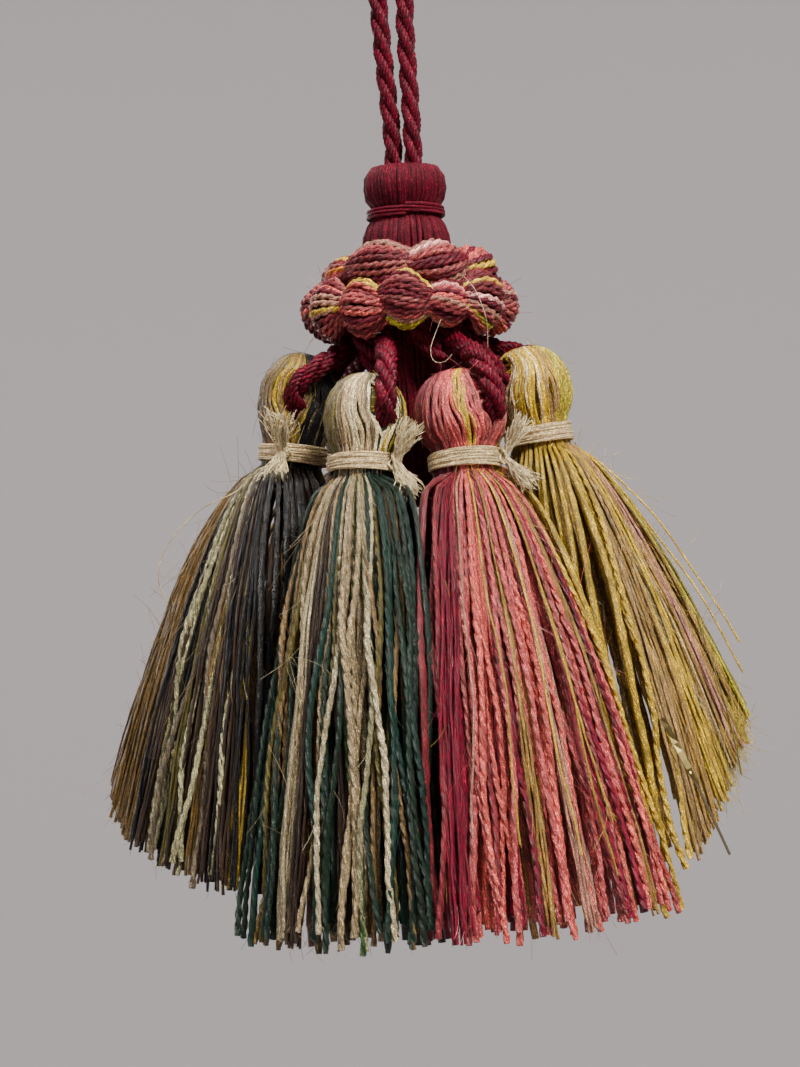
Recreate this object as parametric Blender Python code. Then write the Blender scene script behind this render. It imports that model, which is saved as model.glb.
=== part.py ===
"""A cluster tassel: six small yarn tassels hung on cord loops under a knotted ruff.

A crimson cord loop carries the whole.  It ends in a bound collar of folded crimson yarn, whose
core runs down through a ruff of knotted lobes.  Six small tassels hang from cord loops that come
out under the ruff, and their skirts share the round like the wedges of a cake.

Metres, +Z up, and the front faces -Y.  The origin is the top of the hanging loop.  Azimuths are
in degrees from the front, and positive to the right of someone who looks at the front.
"""
import math
import random
from collections import namedtuple

import bmesh
import bpy
from mathutils import Matrix, Vector, geometry

MM = 0.001
GAP = 0.3 * MM
MERGE_DISTANCE = 0.00001
ROUTE_RESOLUTION = 24
SEED = 7

# Cords: three plies with an S twist.
PLIES = 3
PLY_GROOVE = 0.17
HANGING_CORD_DIAMETER = 2.2 * MM
HANGING_CORD_PITCH = 9.4 * MM
SMALL_CORD_DIAMETER = 2.5 * MM
SMALL_CORD_PITCH = 7.8 * MM
CORD_STEP = 1.0 * MM
SMALL_CORD_STEP = 1.3 * MM

# The hanging loop, in millimetres, from its top down the right-hand leg to the collar.
# The left-hand leg is the same, turned half round the axis.
HANGING_LEG = (
    (0.0, 0.0, -1.1),
    (2.3, 0.0, -1.72),
    (3.98, 0.0, -3.4),
    (4.6, 0.0, -5.9),
    (4.15, 0.0, -9.0),
    (3.0, 0.0, -12.2),
    (1.95, -0.05, -15.4),
    (1.45, -0.1, -19.0),
    (1.32, -0.2, -24.0),
    (1.2, -0.35, -29.5),
    (1.1, -0.45, -33.5),
    (1.1, -0.45, -36.7),
)
# Both legs lean to the left above the collar, most at the height of the eye's foot.
LEG_LEAN = 0.7 * MM
LEG_LEAN_Z = -18.0 * MM

# Collar and core: radius and height of each ring, in millimetres.
Ring = namedtuple("Ring", "radius z")
HEAD_RINGS = (
    Ring(2.9, -37.0),
    Ring(4.0, -37.3),
    Ring(4.6, -38.4),
    Ring(4.66, -40.0),
    Ring(4.4, -40.7),
    Ring(3.75, -41.0),
    Ring(3.75, -42.9),
    Ring(4.35, -43.3),
    Ring(4.85, -44.6),
    Ring(4.9, -50.0),
    Ring(4.8, -60.0),
    Ring(4.5, -68.0),
    Ring(3.6, -72.5),
    Ring(1.9, -74.6),
)
HEAD_SIDES = 24
HEAD_RIDGE = 0.1 * MM

# Binding round the collar: wraps of thread in the collar's groove.
WRAP_GROOVE = 0.35
BINDING_WRAPS = 3
BINDING_INNER_RADIUS = 4.05 * MM
BINDING_OUTER_RADIUS = 4.5 * MM
BINDING_TOP_Z = -41.3 * MM
BINDING_HEIGHT = 1.3 * MM
BINDING_SIDES = 20

# Ruff: two rows of knotted lobes round the core, with a recess below for the cord loops.
LobeRow = namedtuple("LobeRow", "count first radius z size strands start end pinch")
LOWER_LOBES = LobeRow(13, -3.5, 8.7 * MM, -52.8 * MM, 3.4 * MM, 5, -86.0, 42.0, 0.34)
UPPER_LOBES = LobeRow(8, 22.5, 7.4 * MM, -48.8 * MM, 2.9 * MM, 4, -12.0, 112.0, 0.32)
RUFF_SIDES = 52
RUFF_STRAND_RIDGE = 0.1
RUFF_HOLE_RADIUS = 5.25 * MM
RUFF_HOLE_TOP_Z = -47.2 * MM
RUFF_RECESS_RADIUS = 8.35 * MM
RUFF_RECESS_TOP_Z = -52.6 * MM

# Cord loops: their legs stand round the core in the ruff's recess.  The bight lies in the head,
# and turns up at a share of the loop's half width and of the rise to its shoulders.
LEG_CIRCLE_RADIUS = 6.7 * MM
LEG_TOP_Z = -53.1 * MM
LEG_FOOT_Z = -56.0 * MM
LOOP_CREST_LIMIT_Z = -58.5 * MM
LOOP_SAG = 0.3 * MM
LOOP_HALF_WIDTH = 4.3 * MM
LOOP_TURN_OUT = 0.72
LOOP_TURN_RISE = 0.28
LOOP_BIGHT_HEIGHT = 4.1 * MM
LOOP_SHOULDER_HEIGHT = 7.2 * MM
LOOP_CLEARANCE = 0.45 * MM
CORD_WAY_REACH = 1.6

# Small tassels.  Radii of the head as shares of its largest radius, at shares of its height.
HeadRing = namedtuple("HeadRing", "height radius")
HEAD_DOME = (
    HeadRing(0.27, 0.9),
    HeadRing(0.44, 1.0),
    HeadRing(0.68, 0.95),
    HeadRing(0.86, 0.72),
    HeadRing(0.96, 0.4),
)
HEAD_YARN_RIDGE = 0.025
HEAD_LEAN = 8.0
NECK_RADIUS = 3.55 * MM
NECK_HALF_HEIGHT = 1.6 * MM
LOCKS_ACROSS = 6
LOCK_LEVELS = (0.075, 0.32, 1.0)
LOCK_FULLNESS = (0.8, 0.86, 0.9)
LOCK_RAGGED = 0.022
WEDGE_MARGIN = 0.35

# Ties round the necks.
TIE_WRAPS = 3
TIE_INNER_RADIUS = NECK_RADIUS + GAP
TIE_OUTER_RADIUS = 4.15 * MM
TIE_HALF_HEIGHT = 1.25 * MM
TIE_SIDES = 16
KNOT_RADIUS = 0.95 * MM
KNOT_SEAT = 0.5
UPPER_END_OUT = 7.1 * MM
UPPER_END_UP = 5.2 * MM
LOWER_END_OUT = 7.3 * MM
LOWER_END_DOWN = 4.4 * MM
TUFT_SIDES = 6
TUFT_ROOT_RADIUS = 0.45 * MM
TUFT_TIP_RADIUS = 1.05 * MM

# One row for each small tassel.  azimuth, neck_radius and neck_z place the middle of its tie.
# start and stop are the azimuths that bound the skirt's cut end, inner is its inner radius, and
# outer its outer radius at start and at stop.  trim is the share of their length that the
# outermost strands lack: most at the start if trim_side is -1, and most at the stop if it is 1.
# facing and aside turn and shift its cord loop, and crest is where that comes over the head: to
# the side, forwards and up from the neck.  front_leg and back_leg are where the legs of the loop
# stand in the ruff.  knot is the azimuth of the tie's knot, seen from the neck.
Tassel = namedtuple(
    "Tassel",
    "number azimuth neck_radius neck_z height width start stop inner outer length trim trim_side "
    "droop facing aside crest front_leg back_leg knot colour",
)
TASSELS = (
    Tassel(1, -84, 13.6, -68.4, 11.4, 8.8, -120, -40, 7, (38.0, 30.5), 47.5, 0.09, -1, 0.6,
           -14, 0.9, (3.8, 3.9, 9.8), -77, -104, -12, (0.42, 0.37, 0.20)),
    Tassel(2, -24.5, 13.2, -70.2, 9.9, 8.8, -40, 0, 7, (31.5, 31.5), 48.5, 0.02, 0, 0.55,
           -2, 2.3, (2.2, 2.3, 11.0), -25, -51, 50, (0.30, 0.42, 0.27)),
    Tassel(3, 22.5, 13.2, -70.2, 9.9, 9.8, 0, 52, 7, (32.5, 33.0), 48.5, 0.02, 0, 0.62,
           12, 2.9, (2.0, 2.3, 11.0), 38, 8, 78, (0.62, 0.22, 0.24)),
    Tassel(4, 84, 13.8, -67.3, 10.0, 9.2, 52, 120, 7, (34.0, 36.5), 48.0, 0.25, 1, 0.72,
           125, 0.0, (0.0, 2.3, 11.1), 104, 70, 150, (0.62, 0.53, 0.22)),
    Tassel(5, 150, 13.4, -69.0, 9.9, 9.2, 120, 180, 7, (34.0, 34.0), 48.0, 0.08, 0, 0.7,
           150, 0.0, (0.0, 2.3, 11.0), 132, 160, 190, (0.56, 0.33, 0.12)),
    Tassel(6, -150, 13.4, -69.0, 9.9, 9.2, -180, -120, 7, (34.0, 34.0), 48.0, 0.08, 0, 0.7,
           -150, 0.0, (0.0, 2.3, 11.0), -134, -162, -190, (0.40, 0.33, 0.26)),
)

CRIMSON = (0.26, 0.015, 0.035)
ROSE = (0.42, 0.13, 0.11)
TIE_COLOUR = (0.45, 0.37, 0.25)
YARN_ROUGHNESS = 0.85


def clear_scene():
    """Start from an empty scene."""
    for item in list(bpy.data.objects):
        bpy.data.objects.remove(item, do_unlink=True)


def new_collection(name):
    """A collection linked to the scene."""
    group = bpy.data.collections.new(name)
    bpy.context.scene.collection.children.link(group)
    return group


def yarn_material(name, colour, roughness=YARN_ROUGHNESS):
    """A matt Principled material for cord, yarn or thread."""
    finish = bpy.data.materials.new(name)
    finish.use_nodes = True
    shader = finish.node_tree.nodes["Principled BSDF"]
    shader.inputs["Base Color"].default_value = (*colour, 1.0)
    shader.inputs["Roughness"].default_value = roughness
    shader.inputs["Metallic"].default_value = 0.0
    return finish


def add_mesh(name, shape, group, finish=None):
    """Make an object of a bmesh, with its faces turned outwards."""
    bmesh.ops.recalc_face_normals(shape, faces=shape.faces)
    mesh = bpy.data.meshes.new(name)
    shape.to_mesh(mesh)
    shape.free()
    item = bpy.data.objects.new(name, mesh)
    group.objects.link(item)
    if finish:
        mesh.materials.append(finish)
    return item


def hide_as_guide(item):
    """Mark a cutter or a guide, which is no part of the tassel."""
    item.hide_render = True
    item.display_type = "WIRE"


def around(azimuth, radius, z):
    """The point at an azimuth, a radius and a height about the main axis."""
    angle = math.radians(azimuth)
    return Vector((radius * math.sin(angle), -radius * math.cos(angle), z))


def smooth_route(knots, step):
    """Points about one step apart on a smooth curve through the knots."""
    first = knots[0] * 2 - knots[1]
    last = knots[-1] * 2 - knots[-2]
    padded = [first, *knots, last]
    dense = [knots[0]]
    for index in range(1, len(padded) - 2):
        start, stop = padded[index], padded[index + 1]
        leave = start + (stop - padded[index - 1]) / 6
        arrive = stop - (padded[index + 2] - start) / 6
        dense.extend(geometry.interpolate_bezier(start, leave, arrive, stop, ROUTE_RESOLUTION)[1:])
    lengths = [0.0]
    for before, after in zip(dense, dense[1:]):
        lengths.append(lengths[-1] + (after - before).length)
    count = max(2, round(lengths[-1] / step))
    route = []
    place = 0
    for index in range(count + 1):
        target = lengths[-1] * index / count
        while place < len(dense) - 2 and lengths[place + 1] < target:
            place += 1
        span = lengths[place + 1] - lengths[place]
        route.append(dense[place].lerp(dense[place + 1], (target - lengths[place]) / span))
    return route


def ply_outline(name, diameter, guides):
    """The cross-section of a plied cord: a closed curve with one corner for each ply."""
    outline = bpy.data.curves.new(name, "CURVE")
    outline.dimensions = "2D"
    outline.fill_mode = "NONE"
    corners = PLIES * 2
    spline = outline.splines.new("POLY")
    spline.points.add(corners - 1)
    for index, point in enumerate(spline.points):
        angle = 2 * math.pi * index / corners
        radius = diameter / 2 * (1 - PLY_GROOVE * (index % 2))
        point.co = (radius * math.cos(angle), radius * math.sin(angle), 0, 1)
    spline.use_cyclic_u = True
    item = bpy.data.objects.new(name, outline)
    guides.objects.link(item)
    hide_as_guide(item)
    return item


def tube_mesh(name, route, group, outline=None, radius=0.0, pitch=0.0):
    """A closed tube along a route, twisted if it has an outline, as a mesh object."""
    curve = bpy.data.curves.new(name, "CURVE")
    curve.dimensions = "3D"
    curve.twist_mode = "MINIMUM"
    curve.use_fill_caps = True
    if outline:
        curve.bevel_mode = "OBJECT"
        curve.bevel_object = outline
    else:
        curve.bevel_depth = radius
        curve.bevel_resolution = 2
    spline = curve.splines.new("POLY")
    spline.points.add(len(route) - 1)
    travelled = 0.0
    for index, point in enumerate(spline.points):
        point.co = (*route[index], 1)
        if outline:
            if index:
                travelled += (route[index] - route[index - 1]).length
            point.tilt = -2 * math.pi * travelled / pitch
    wire = bpy.data.objects.new(name + "_wire", curve)
    group.objects.link(wire)
    graph = bpy.context.evaluated_depsgraph_get()
    mesh = bpy.data.meshes.new_from_object(wire.evaluated_get(graph))
    bpy.data.objects.remove(wire, do_unlink=True)
    shape = bmesh.new()
    shape.from_mesh(mesh)
    bpy.data.meshes.remove(mesh)
    bmesh.ops.remove_doubles(shape, verts=shape.verts, dist=MERGE_DISTANCE)
    return add_mesh(name, shape, group)


def loft(sections, closed):
    """A bmesh of quads between sections of equal point count, each a closed ring.

    A closed loft joins its last section to its first.  An open one gets a flat face on each end.
    """
    shape = bmesh.new()
    rings = [[shape.verts.new(point) for point in section] for section in sections]
    pairs = list(zip(rings, rings[1:]))
    if closed:
        pairs.append((rings[-1], rings[0]))
    for near, far in pairs:
        for index in range(len(near)):
            following = (index + 1) % len(near)
            shape.faces.new((near[index], near[following], far[following], far[index]))
    if not closed:
        shape.faces.new(rings[0])
        shape.faces.new(rings[-1])
    return shape


def leg_lean(z):
    """How far to the left the hanging cord leans at a height."""
    foot = HANGING_LEG[-1][2] * MM
    share = z / LEG_LEAN_Z if z > LEG_LEAN_Z else (z - foot) / (LEG_LEAN_Z - foot)
    return LEG_LEAN * share ** 2 * (3 - 2 * share)


def make_hanging_loop(parts, guides):
    """The plied cord that the tassel hangs by, from the collar up, round and down again."""
    right = [Vector(point) * MM for point in HANGING_LEG]
    left = [Vector((-point.x, -point.y, point.z)) for point in right]
    knots = list(reversed(left)) + right[1:]
    for knot in knots:
        knot.x -= leg_lean(knot.z)
    outline = ply_outline("hanging_outline", HANGING_CORD_DIAMETER, guides)
    route = smooth_route(knots, CORD_STEP)
    loop = tube_mesh("hanging_loop", route, parts, outline, pitch=HANGING_CORD_PITCH)
    loop.data.materials.append(yarn_material("hanging_cord", CRIMSON))


def make_head(parts):
    """The collar of folded yarn and the core below it, with upright yarn ridges."""
    sections = []
    for ring in HEAD_RINGS:
        section = []
        for side in range(HEAD_SIDES):
            ridge = HEAD_RIDGE if side % 2 else -HEAD_RIDGE
            section.append(around(360 * side / HEAD_SIDES, ring.radius * MM + ridge, ring.z * MM))
        sections.append(section)
    add_mesh("head", loft(sections, False), parts, yarn_material("head_yarn", CRIMSON, 0.6))


def wrapped_profile(inner, outer, half_height, wraps):
    """Radius and height of a wrapped thread's section: plain inside, one ridge a wrap outside."""
    groove = outer - (outer - inner) * WRAP_GROOVE
    profile = [(inner, -half_height), (inner, half_height)]
    for index in range(wraps * 2 + 1):
        height = half_height - 2 * half_height * index / (wraps * 2)
        profile.append((outer if index % 2 else groove, height))
    return profile


def wrapped_ring(profile, sides, place, right, out, up):
    """Turn a wrapped section about a place, in the frame of its right, out and up axes."""
    sections = []
    for side in range(sides):
        angle = 2 * math.pi * side / sides
        spoke = right * math.sin(angle) + out * math.cos(angle)
        sections.append([place + spoke * radius + up * height for radius, height in profile])
    return loft(sections, True)


def make_binding(parts):
    """The thread that binds the collar."""
    half_height = BINDING_HEIGHT / 2
    profile = wrapped_profile(
        BINDING_INNER_RADIUS, BINDING_OUTER_RADIUS, half_height, BINDING_WRAPS)
    middle = Vector((0, 0, BINDING_TOP_Z - half_height))
    axes = (Vector((1, 0, 0)), Vector((0, -1, 0)), Vector((0, 0, 1)))
    ring = wrapped_ring(profile, BINDING_SIDES, middle, *axes)
    add_mesh("collar_binding", ring, parts, yarn_material("binding_thread", CRIMSON))


def lobe_arc(row, azimuth, facets):
    """Radius and height along one row of lobes at an azimuth, with a ridge for each strand."""
    phase = (azimuth - row.first) * row.count / 360
    pinch = row.pinch * math.sin(math.pi * phase) ** 2
    points = []
    for index in range(facets + 1):
        angle = math.radians(row.start + (row.end - row.start) * index / facets)
        ridge = RUFF_STRAND_RIDGE * (index % 2)
        reach = row.size * (1 - pinch) * (1 - RUFF_STRAND_RIDGE + ridge)
        points.append((row.radius + reach * math.cos(angle), row.z + reach * math.sin(angle)))
    return points


def make_ruff(parts):
    """The ruff: a ring of two rows of knotted lobes, pinched between them."""
    sections = []
    for side in range(RUFF_SIDES):
        azimuth = 360 * side / RUFF_SIDES
        profile = [(RUFF_RECESS_RADIUS, RUFF_RECESS_TOP_Z)]
        profile += lobe_arc(LOWER_LOBES, azimuth, LOWER_LOBES.strands * 2 - 1)
        profile += lobe_arc(UPPER_LOBES, azimuth, UPPER_LOBES.strands * 2 - 1)
        profile.append((RUFF_HOLE_RADIUS, RUFF_HOLE_TOP_Z))
        profile.append((RUFF_HOLE_RADIUS, RUFF_RECESS_TOP_Z))
        sections.append([around(azimuth, radius, z) for radius, z in profile])
    add_mesh("ruff", loft(sections, True), parts, yarn_material("ruff_yarn", ROSE))


def neck_frame(tassel):
    """The middle of a tassel's tie, with its axes to the right, outwards and up."""
    angle = math.radians(tassel.azimuth)
    lean = math.radians(HEAD_LEAN)
    place = around(tassel.azimuth, tassel.neck_radius * MM, tassel.neck_z * MM)
    right = Vector((math.cos(angle), math.sin(angle), 0))
    away = Vector((math.sin(angle), -math.cos(angle), 0))
    up = Vector((0, 0, math.cos(lean))) - away * math.sin(lean)
    out = away * math.cos(lean) + Vector((0, 0, math.sin(lean)))
    return place, right, out, up


def loop_knots(tassel):
    """The route of a tassel's cord loop: down the front of its head, through it and up behind."""
    place, _, _, up = neck_frame(tassel)
    forward = around(tassel.facing, 1, 0)
    sideways = around(tassel.facing + 90, 1, 0)
    centre = place + sideways * tassel.aside * MM
    front = centre + forward * LOOP_HALF_WIDTH
    back = centre - forward * LOOP_HALF_WIDTH
    turn = forward * LOOP_HALF_WIDTH * LOOP_TURN_OUT
    rise = LOOP_SHOULDER_HEIGHT - LOOP_BIGHT_HEIGHT
    turn_height = LOOP_BIGHT_HEIGHT + rise * LOOP_TURN_RISE
    crest_aside, crest_out, crest_up = tassel.crest
    crest = place + (sideways * crest_aside + forward * crest_out + up * crest_up) * MM
    crest.z = min(crest.z, LOOP_CREST_LIMIT_Z)
    front_top = around(tassel.front_leg, LEG_CIRCLE_RADIUS, LEG_TOP_Z)
    front_foot = around(tassel.front_leg, LEG_CIRCLE_RADIUS, LEG_FOOT_Z)
    back_top = around(tassel.back_leg, LEG_CIRCLE_RADIUS, LEG_TOP_Z)
    back_foot = around(tassel.back_leg, LEG_CIRCLE_RADIUS, LEG_FOOT_Z)
    return [
        front_top,
        front_foot,
        front_foot.lerp(crest, 0.5) - up * LOOP_SAG,
        crest,
        front + up * LOOP_SHOULDER_HEIGHT,
        centre + turn + up * turn_height,
        centre + up * LOOP_BIGHT_HEIGHT,
        centre - turn + up * turn_height,
        back + up * LOOP_SHOULDER_HEIGHT,
        back_foot,
        back_top,
    ]


def square_to_disc(across, outward):
    """Map the square from -1 to 1 onto the unit disc, keeping its rings and spokes."""
    if abs(across) > abs(outward):
        angle = math.pi / 4 * outward / across
        return across * math.cos(angle), across * math.sin(angle)
    if outward == 0:
        return 0.0, 0.0
    angle = math.pi / 4 * across / outward
    return outward * math.sin(angle), outward * math.cos(angle)


def skirt_point(tassel, across, outward, share, stretch):
    """Where a strand is at a share of its length, from its place in the neck."""
    place, right, out, up = neck_frame(tassel)
    disc_across, disc_outward = square_to_disc(across, outward)
    root = place - up * NECK_HALF_HEIGHT
    root += (right * disc_across + out * disc_outward) * NECK_RADIUS
    sideways = (across + disc_across) / 2
    outer = tassel.outer[0] + (tassel.outer[1] - tassel.outer[0]) * (sideways + 1) / 2
    half_depth = (outer - tassel.inner) / 2
    radius = (outer + tassel.inner) / 2 + half_depth * (outward + disc_outward) / 2
    half_wedge = (tassel.stop - tassel.start) / 2 - math.degrees(WEDGE_MARGIN / radius)
    azimuth = (tassel.start + tassel.stop) / 2 + half_wedge * sideways
    end = around(azimuth, radius * MM, 0)
    run = end.xy - root.xy
    side_share = (1 + tassel.trim_side * across) / (1 + abs(tassel.trim_side))
    lack = tassel.trim * max(outward, 0) ** 2 * side_share
    length = tassel.length * MM * stretch * (1 - lack)
    drop = math.sqrt(length ** 2 - run.length_squared)
    flat = root.xy + run * share ** tassel.droop
    return Vector((flat.x, flat.y, root.z - drop * share))


def grow_locks(shape, tassel, across_layer, outward_layer):
    """Draw each face of the neck's underside down into a lock of yarn of its own."""
    chance = random.Random(SEED + tassel.number)
    for face in list(shape.faces):
        corners = len(face.verts)
        middle_across = sum(vert[across_layer] for vert in face.verts) / corners
        middle_outward = sum(vert[outward_layer] for vert in face.verts) / corners
        stretch = 1 + chance.uniform(-LOCK_RAGGED, LOCK_RAGGED)
        for share, fullness in zip(LOCK_LEVELS, LOCK_FULLNESS):
            drawn = bmesh.ops.extrude_discrete_faces(shape, faces=[face])
            face = drawn["faces"][0]
            middle = skirt_point(tassel, middle_across, middle_outward, share, stretch)
            for vert in face.verts:
                edge = skirt_point(
                    tassel, vert[across_layer], vert[outward_layer], share, stretch)
                vert.co = middle.lerp(edge, fullness)


def grow_head(shape, rim, tassel, across_layer, outward_layer):
    """Draw the rim of the neck's underside up through the neck and over the head."""
    place, right, out, up = neck_frame(tassel)
    half_width = tassel.width * MM / 2
    height = tassel.height * MM
    levels = [(NECK_HALF_HEIGHT, NECK_RADIUS)]
    levels += [(height * ring.height, half_width * ring.radius) for ring in HEAD_DOME]
    for level, radius in levels:
        raised = bmesh.ops.extrude_edge_only(shape, edges=rim)["geom"]
        rim = [part for part in raised if isinstance(part, bmesh.types.BMEdge)]
        for vert in {vert for edge in rim for vert in edge.verts}:
            across, outward = vert[across_layer], vert[outward_layer]
            corner = round((abs(across) + abs(outward)) * LOCKS_ACROSS / 2)
            ridge = 1 + HEAD_YARN_RIDGE * (1 if corner % 2 else -1)
            spoke_right, spoke_out = square_to_disc(across, outward)
            spoke = (right * spoke_right + out * spoke_out) * radius * ridge
            vert.co = place + up * level + spoke
    crown = list({vert for edge in rim for vert in edge.verts})
    bmesh.ops.pointmerge(shape, verts=crown, merge_co=place + up * height)


def make_tassel(tassel, route, parts, guides):
    """One small tassel: head, neck and a skirt of locks, with a way through for its cord."""
    name = f"tassel_{tassel.number}"
    shape = bmesh.new()
    across_layer = shape.verts.layers.float.new("across")
    outward_layer = shape.verts.layers.float.new("outward")
    bmesh.ops.create_grid(shape, x_segments=LOCKS_ACROSS, y_segments=LOCKS_ACROSS, size=1)
    place, right, out, up = neck_frame(tassel)
    for vert in shape.verts:
        vert[across_layer], vert[outward_layer] = vert.co.x, vert.co.y
        spoke_right, spoke_out = square_to_disc(vert.co.x, vert.co.y)
        spoke = (right * spoke_right + out * spoke_out) * NECK_RADIUS
        vert.co = place - up * NECK_HALF_HEIGHT + spoke
    rim = [edge for edge in shape.edges if edge.is_boundary]
    grow_locks(shape, tassel, across_layer, outward_layer)
    grow_head(shape, rim, tassel, across_layer, outward_layer)
    finish = yarn_material(f"tassel_yarn_{tassel.number}", tassel.colour)
    body = add_mesh(name, shape, parts, finish)
    reach = tassel.height * MM * CORD_WAY_REACH
    near = [point for point in route if (point - place).dot(up) < reach]
    clearance = SMALL_CORD_DIAMETER / 2 + LOOP_CLEARANCE
    cutter = tube_mesh(name + "_cord_way", near, guides, radius=clearance)
    hide_as_guide(cutter)
    cut = body.modifiers.new("cord way", "BOOLEAN")
    cut.operation = "DIFFERENCE"
    cut.solver = "EXACT"
    cut.object = cutter


def join(body, addition):
    """Unite an addition with a body by a Boolean modifier."""
    hide_as_guide(addition)
    union = body.modifiers.new(addition.name, "BOOLEAN")
    union.operation = "UNION"
    union.solver = "EXACT"
    union.object = addition


def make_tuft(name, root, tip, guides):
    """One frayed end of a tie: a cone that widens from the knot to its tip."""
    shape = bmesh.new()
    run = tip - root
    turn = run.to_track_quat("Z", "Y").to_matrix().to_4x4()
    placed = Matrix.Translation(root.lerp(tip, 0.5)) @ turn
    bmesh.ops.create_cone(
        shape, cap_ends=True, segments=TUFT_SIDES, radius1=TUFT_ROOT_RADIUS,
        radius2=TUFT_TIP_RADIUS, depth=run.length, matrix=placed)
    return add_mesh(name, shape, guides)


def make_tie(tassel, parts, guides):
    """The thread wrapped round a tassel's neck, with its knot and two frayed ends."""
    name = f"tie_{tassel.number}"
    place, right, out, up = neck_frame(tassel)
    profile = wrapped_profile(TIE_INNER_RADIUS, TIE_OUTER_RADIUS, TIE_HALF_HEIGHT, TIE_WRAPS)
    ring = wrapped_ring(profile, TIE_SIDES, place, right, out, up)
    finish = yarn_material(f"tie_thread_{tassel.number}", TIE_COLOUR)
    body = add_mesh(name, ring, parts, finish)
    turn = math.radians(tassel.knot - tassel.azimuth)
    spoke = right * math.sin(turn) + out * math.cos(turn)
    middle = place + spoke * (TIE_OUTER_RADIUS + KNOT_RADIUS * KNOT_SEAT)
    knot = bmesh.new()
    bmesh.ops.create_icosphere(
        knot, subdivisions=1, radius=KNOT_RADIUS, matrix=Matrix.Translation(middle))
    join(body, add_mesh(name + "_knot", knot, guides))
    upper_tip = place + spoke * UPPER_END_OUT + up * UPPER_END_UP
    lower_tip = place + spoke * LOWER_END_OUT - up * LOWER_END_DOWN
    join(body, make_tuft(name + "_upper_end", middle, upper_tip, guides))
    join(body, make_tuft(name + "_lower_end", middle, lower_tip, guides))


def main():
    """Build every piece of the tassel."""
    clear_scene()
    parts = new_collection("cluster_tassel")
    guides = new_collection("guides_and_cutters")
    make_hanging_loop(parts, guides)
    make_head(parts)
    make_binding(parts)
    make_ruff(parts)
    outline = ply_outline("small_cord_outline", SMALL_CORD_DIAMETER, guides)
    for tassel in TASSELS:
        route = smooth_route(loop_knots(tassel), SMALL_CORD_STEP)
        name = f"cord_loop_{tassel.number}"
        loop = tube_mesh(name, route, parts, outline, pitch=SMALL_CORD_PITCH)
        loop.data.materials.append(yarn_material(f"loop_cord_{tassel.number}", CRIMSON))
        make_tassel(tassel, route, parts, guides)
        make_tie(tassel, parts, guides)


main()
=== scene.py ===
# %% [markdown]
# # A cluster tassel
#
# Six small yarn tassels hang on crimson cord loops under a knotted ruff.  A crimson collar and a
# plied hanging cord carry the whole.  Every piece is yarn of one kind or another: plied cord,
# two-ply yarn, floss or single fibres.  So one Geometry Nodes tree spins all of them from plain
# wires, and the rest of the script lays out the wires.
#
# Metres, +Z up, and the front faces -Y.  The origin is the top of the hanging loop.  Azimuths are
# in degrees from the front, and positive to the right of someone who looks at the front.

import math
import random
from collections import namedtuple

import bpy
import numpy as np
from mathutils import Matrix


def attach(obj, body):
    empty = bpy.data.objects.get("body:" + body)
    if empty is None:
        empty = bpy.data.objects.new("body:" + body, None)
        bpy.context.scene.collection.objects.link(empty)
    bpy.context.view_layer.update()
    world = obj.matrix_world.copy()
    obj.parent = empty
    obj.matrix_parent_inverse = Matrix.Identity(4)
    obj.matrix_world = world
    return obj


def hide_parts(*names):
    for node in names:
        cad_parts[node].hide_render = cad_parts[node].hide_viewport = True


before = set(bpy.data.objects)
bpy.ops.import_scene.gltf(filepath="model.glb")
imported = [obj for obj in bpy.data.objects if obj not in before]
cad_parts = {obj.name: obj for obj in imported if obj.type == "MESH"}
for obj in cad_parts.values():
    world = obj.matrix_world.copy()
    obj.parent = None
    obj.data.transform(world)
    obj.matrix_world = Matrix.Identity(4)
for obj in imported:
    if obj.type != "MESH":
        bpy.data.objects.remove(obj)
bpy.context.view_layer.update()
MM = 0.001

# %% [markdown]
# ## Sizes
#
# The looks stand round the solids, so they repeat the sizes of the solids: the route of each
# cord, the place of each neck, and the wedge of the round that each skirt fills.

# %% Sizes
HANGING_CORD_DIAMETER = 2.2 * MM
HANGING_CORD_PITCH = 9.4 * MM
SMALL_CORD_DIAMETER = 2.5 * MM
SMALL_CORD_PITCH = 7.8 * MM

# The hanging loop, in millimetres, from its top down the right-hand leg to the collar.
HANGING_LEG = (
    (0.0, 0.0, -1.1),
    (2.3, 0.0, -1.72),
    (3.98, 0.0, -3.4),
    (4.6, 0.0, -5.9),
    (4.15, 0.0, -9.0),
    (3.0, 0.0, -12.2),
    (1.95, -0.05, -15.4),
    (1.45, -0.1, -19.0),
    (1.32, -0.2, -24.0),
    (1.2, -0.35, -29.5),
    (1.1, -0.45, -33.5),
    (1.1, -0.45, -36.7),
)
# Both legs lean to the left above the collar, most at the height of the eye's foot.
LEG_LEAN = 0.7 * MM
LEG_LEAN_Z = -18.0 * MM

# Collar and core, in millimetres: radius and height of each ring, from inside the top edge.
COLLAR_RINGS = (
    (2.3, -38.2),
    (2.6, -37.35),
    (3.5, -37.0),
    (4.3, -37.5),
    (4.6, -38.6),
    (4.62, -39.9),
    (4.3, -40.7),
    (3.8, -41.2),
    (3.8, -42.8),
    (4.3, -43.3),
    (4.85, -44.7),
    (4.95, -47.0),
    (4.85, -51.0),
    (4.8, -60.0),
    (4.5, -68.0),
    (3.6, -72.4),
    (1.9, -74.5),
)

# Ruff: two rows of knotted lobes.  radius and z place the middle line of a row, in millimetres,
# and size is how far its lobes reach from there, between two angles of their section.
LobeRow = namedtuple("LobeRow", "count first radius z size strands start end pinch")
LOWER_LOBES = LobeRow(13, -3.5, 8.7, -52.8, 3.4, 13, -86.0, 80.0, 0.4)
UPPER_LOBES = LobeRow(8, 22.5, 7.4, -48.8, 2.9, 12, -75.0, 122.0, 0.4)

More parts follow.
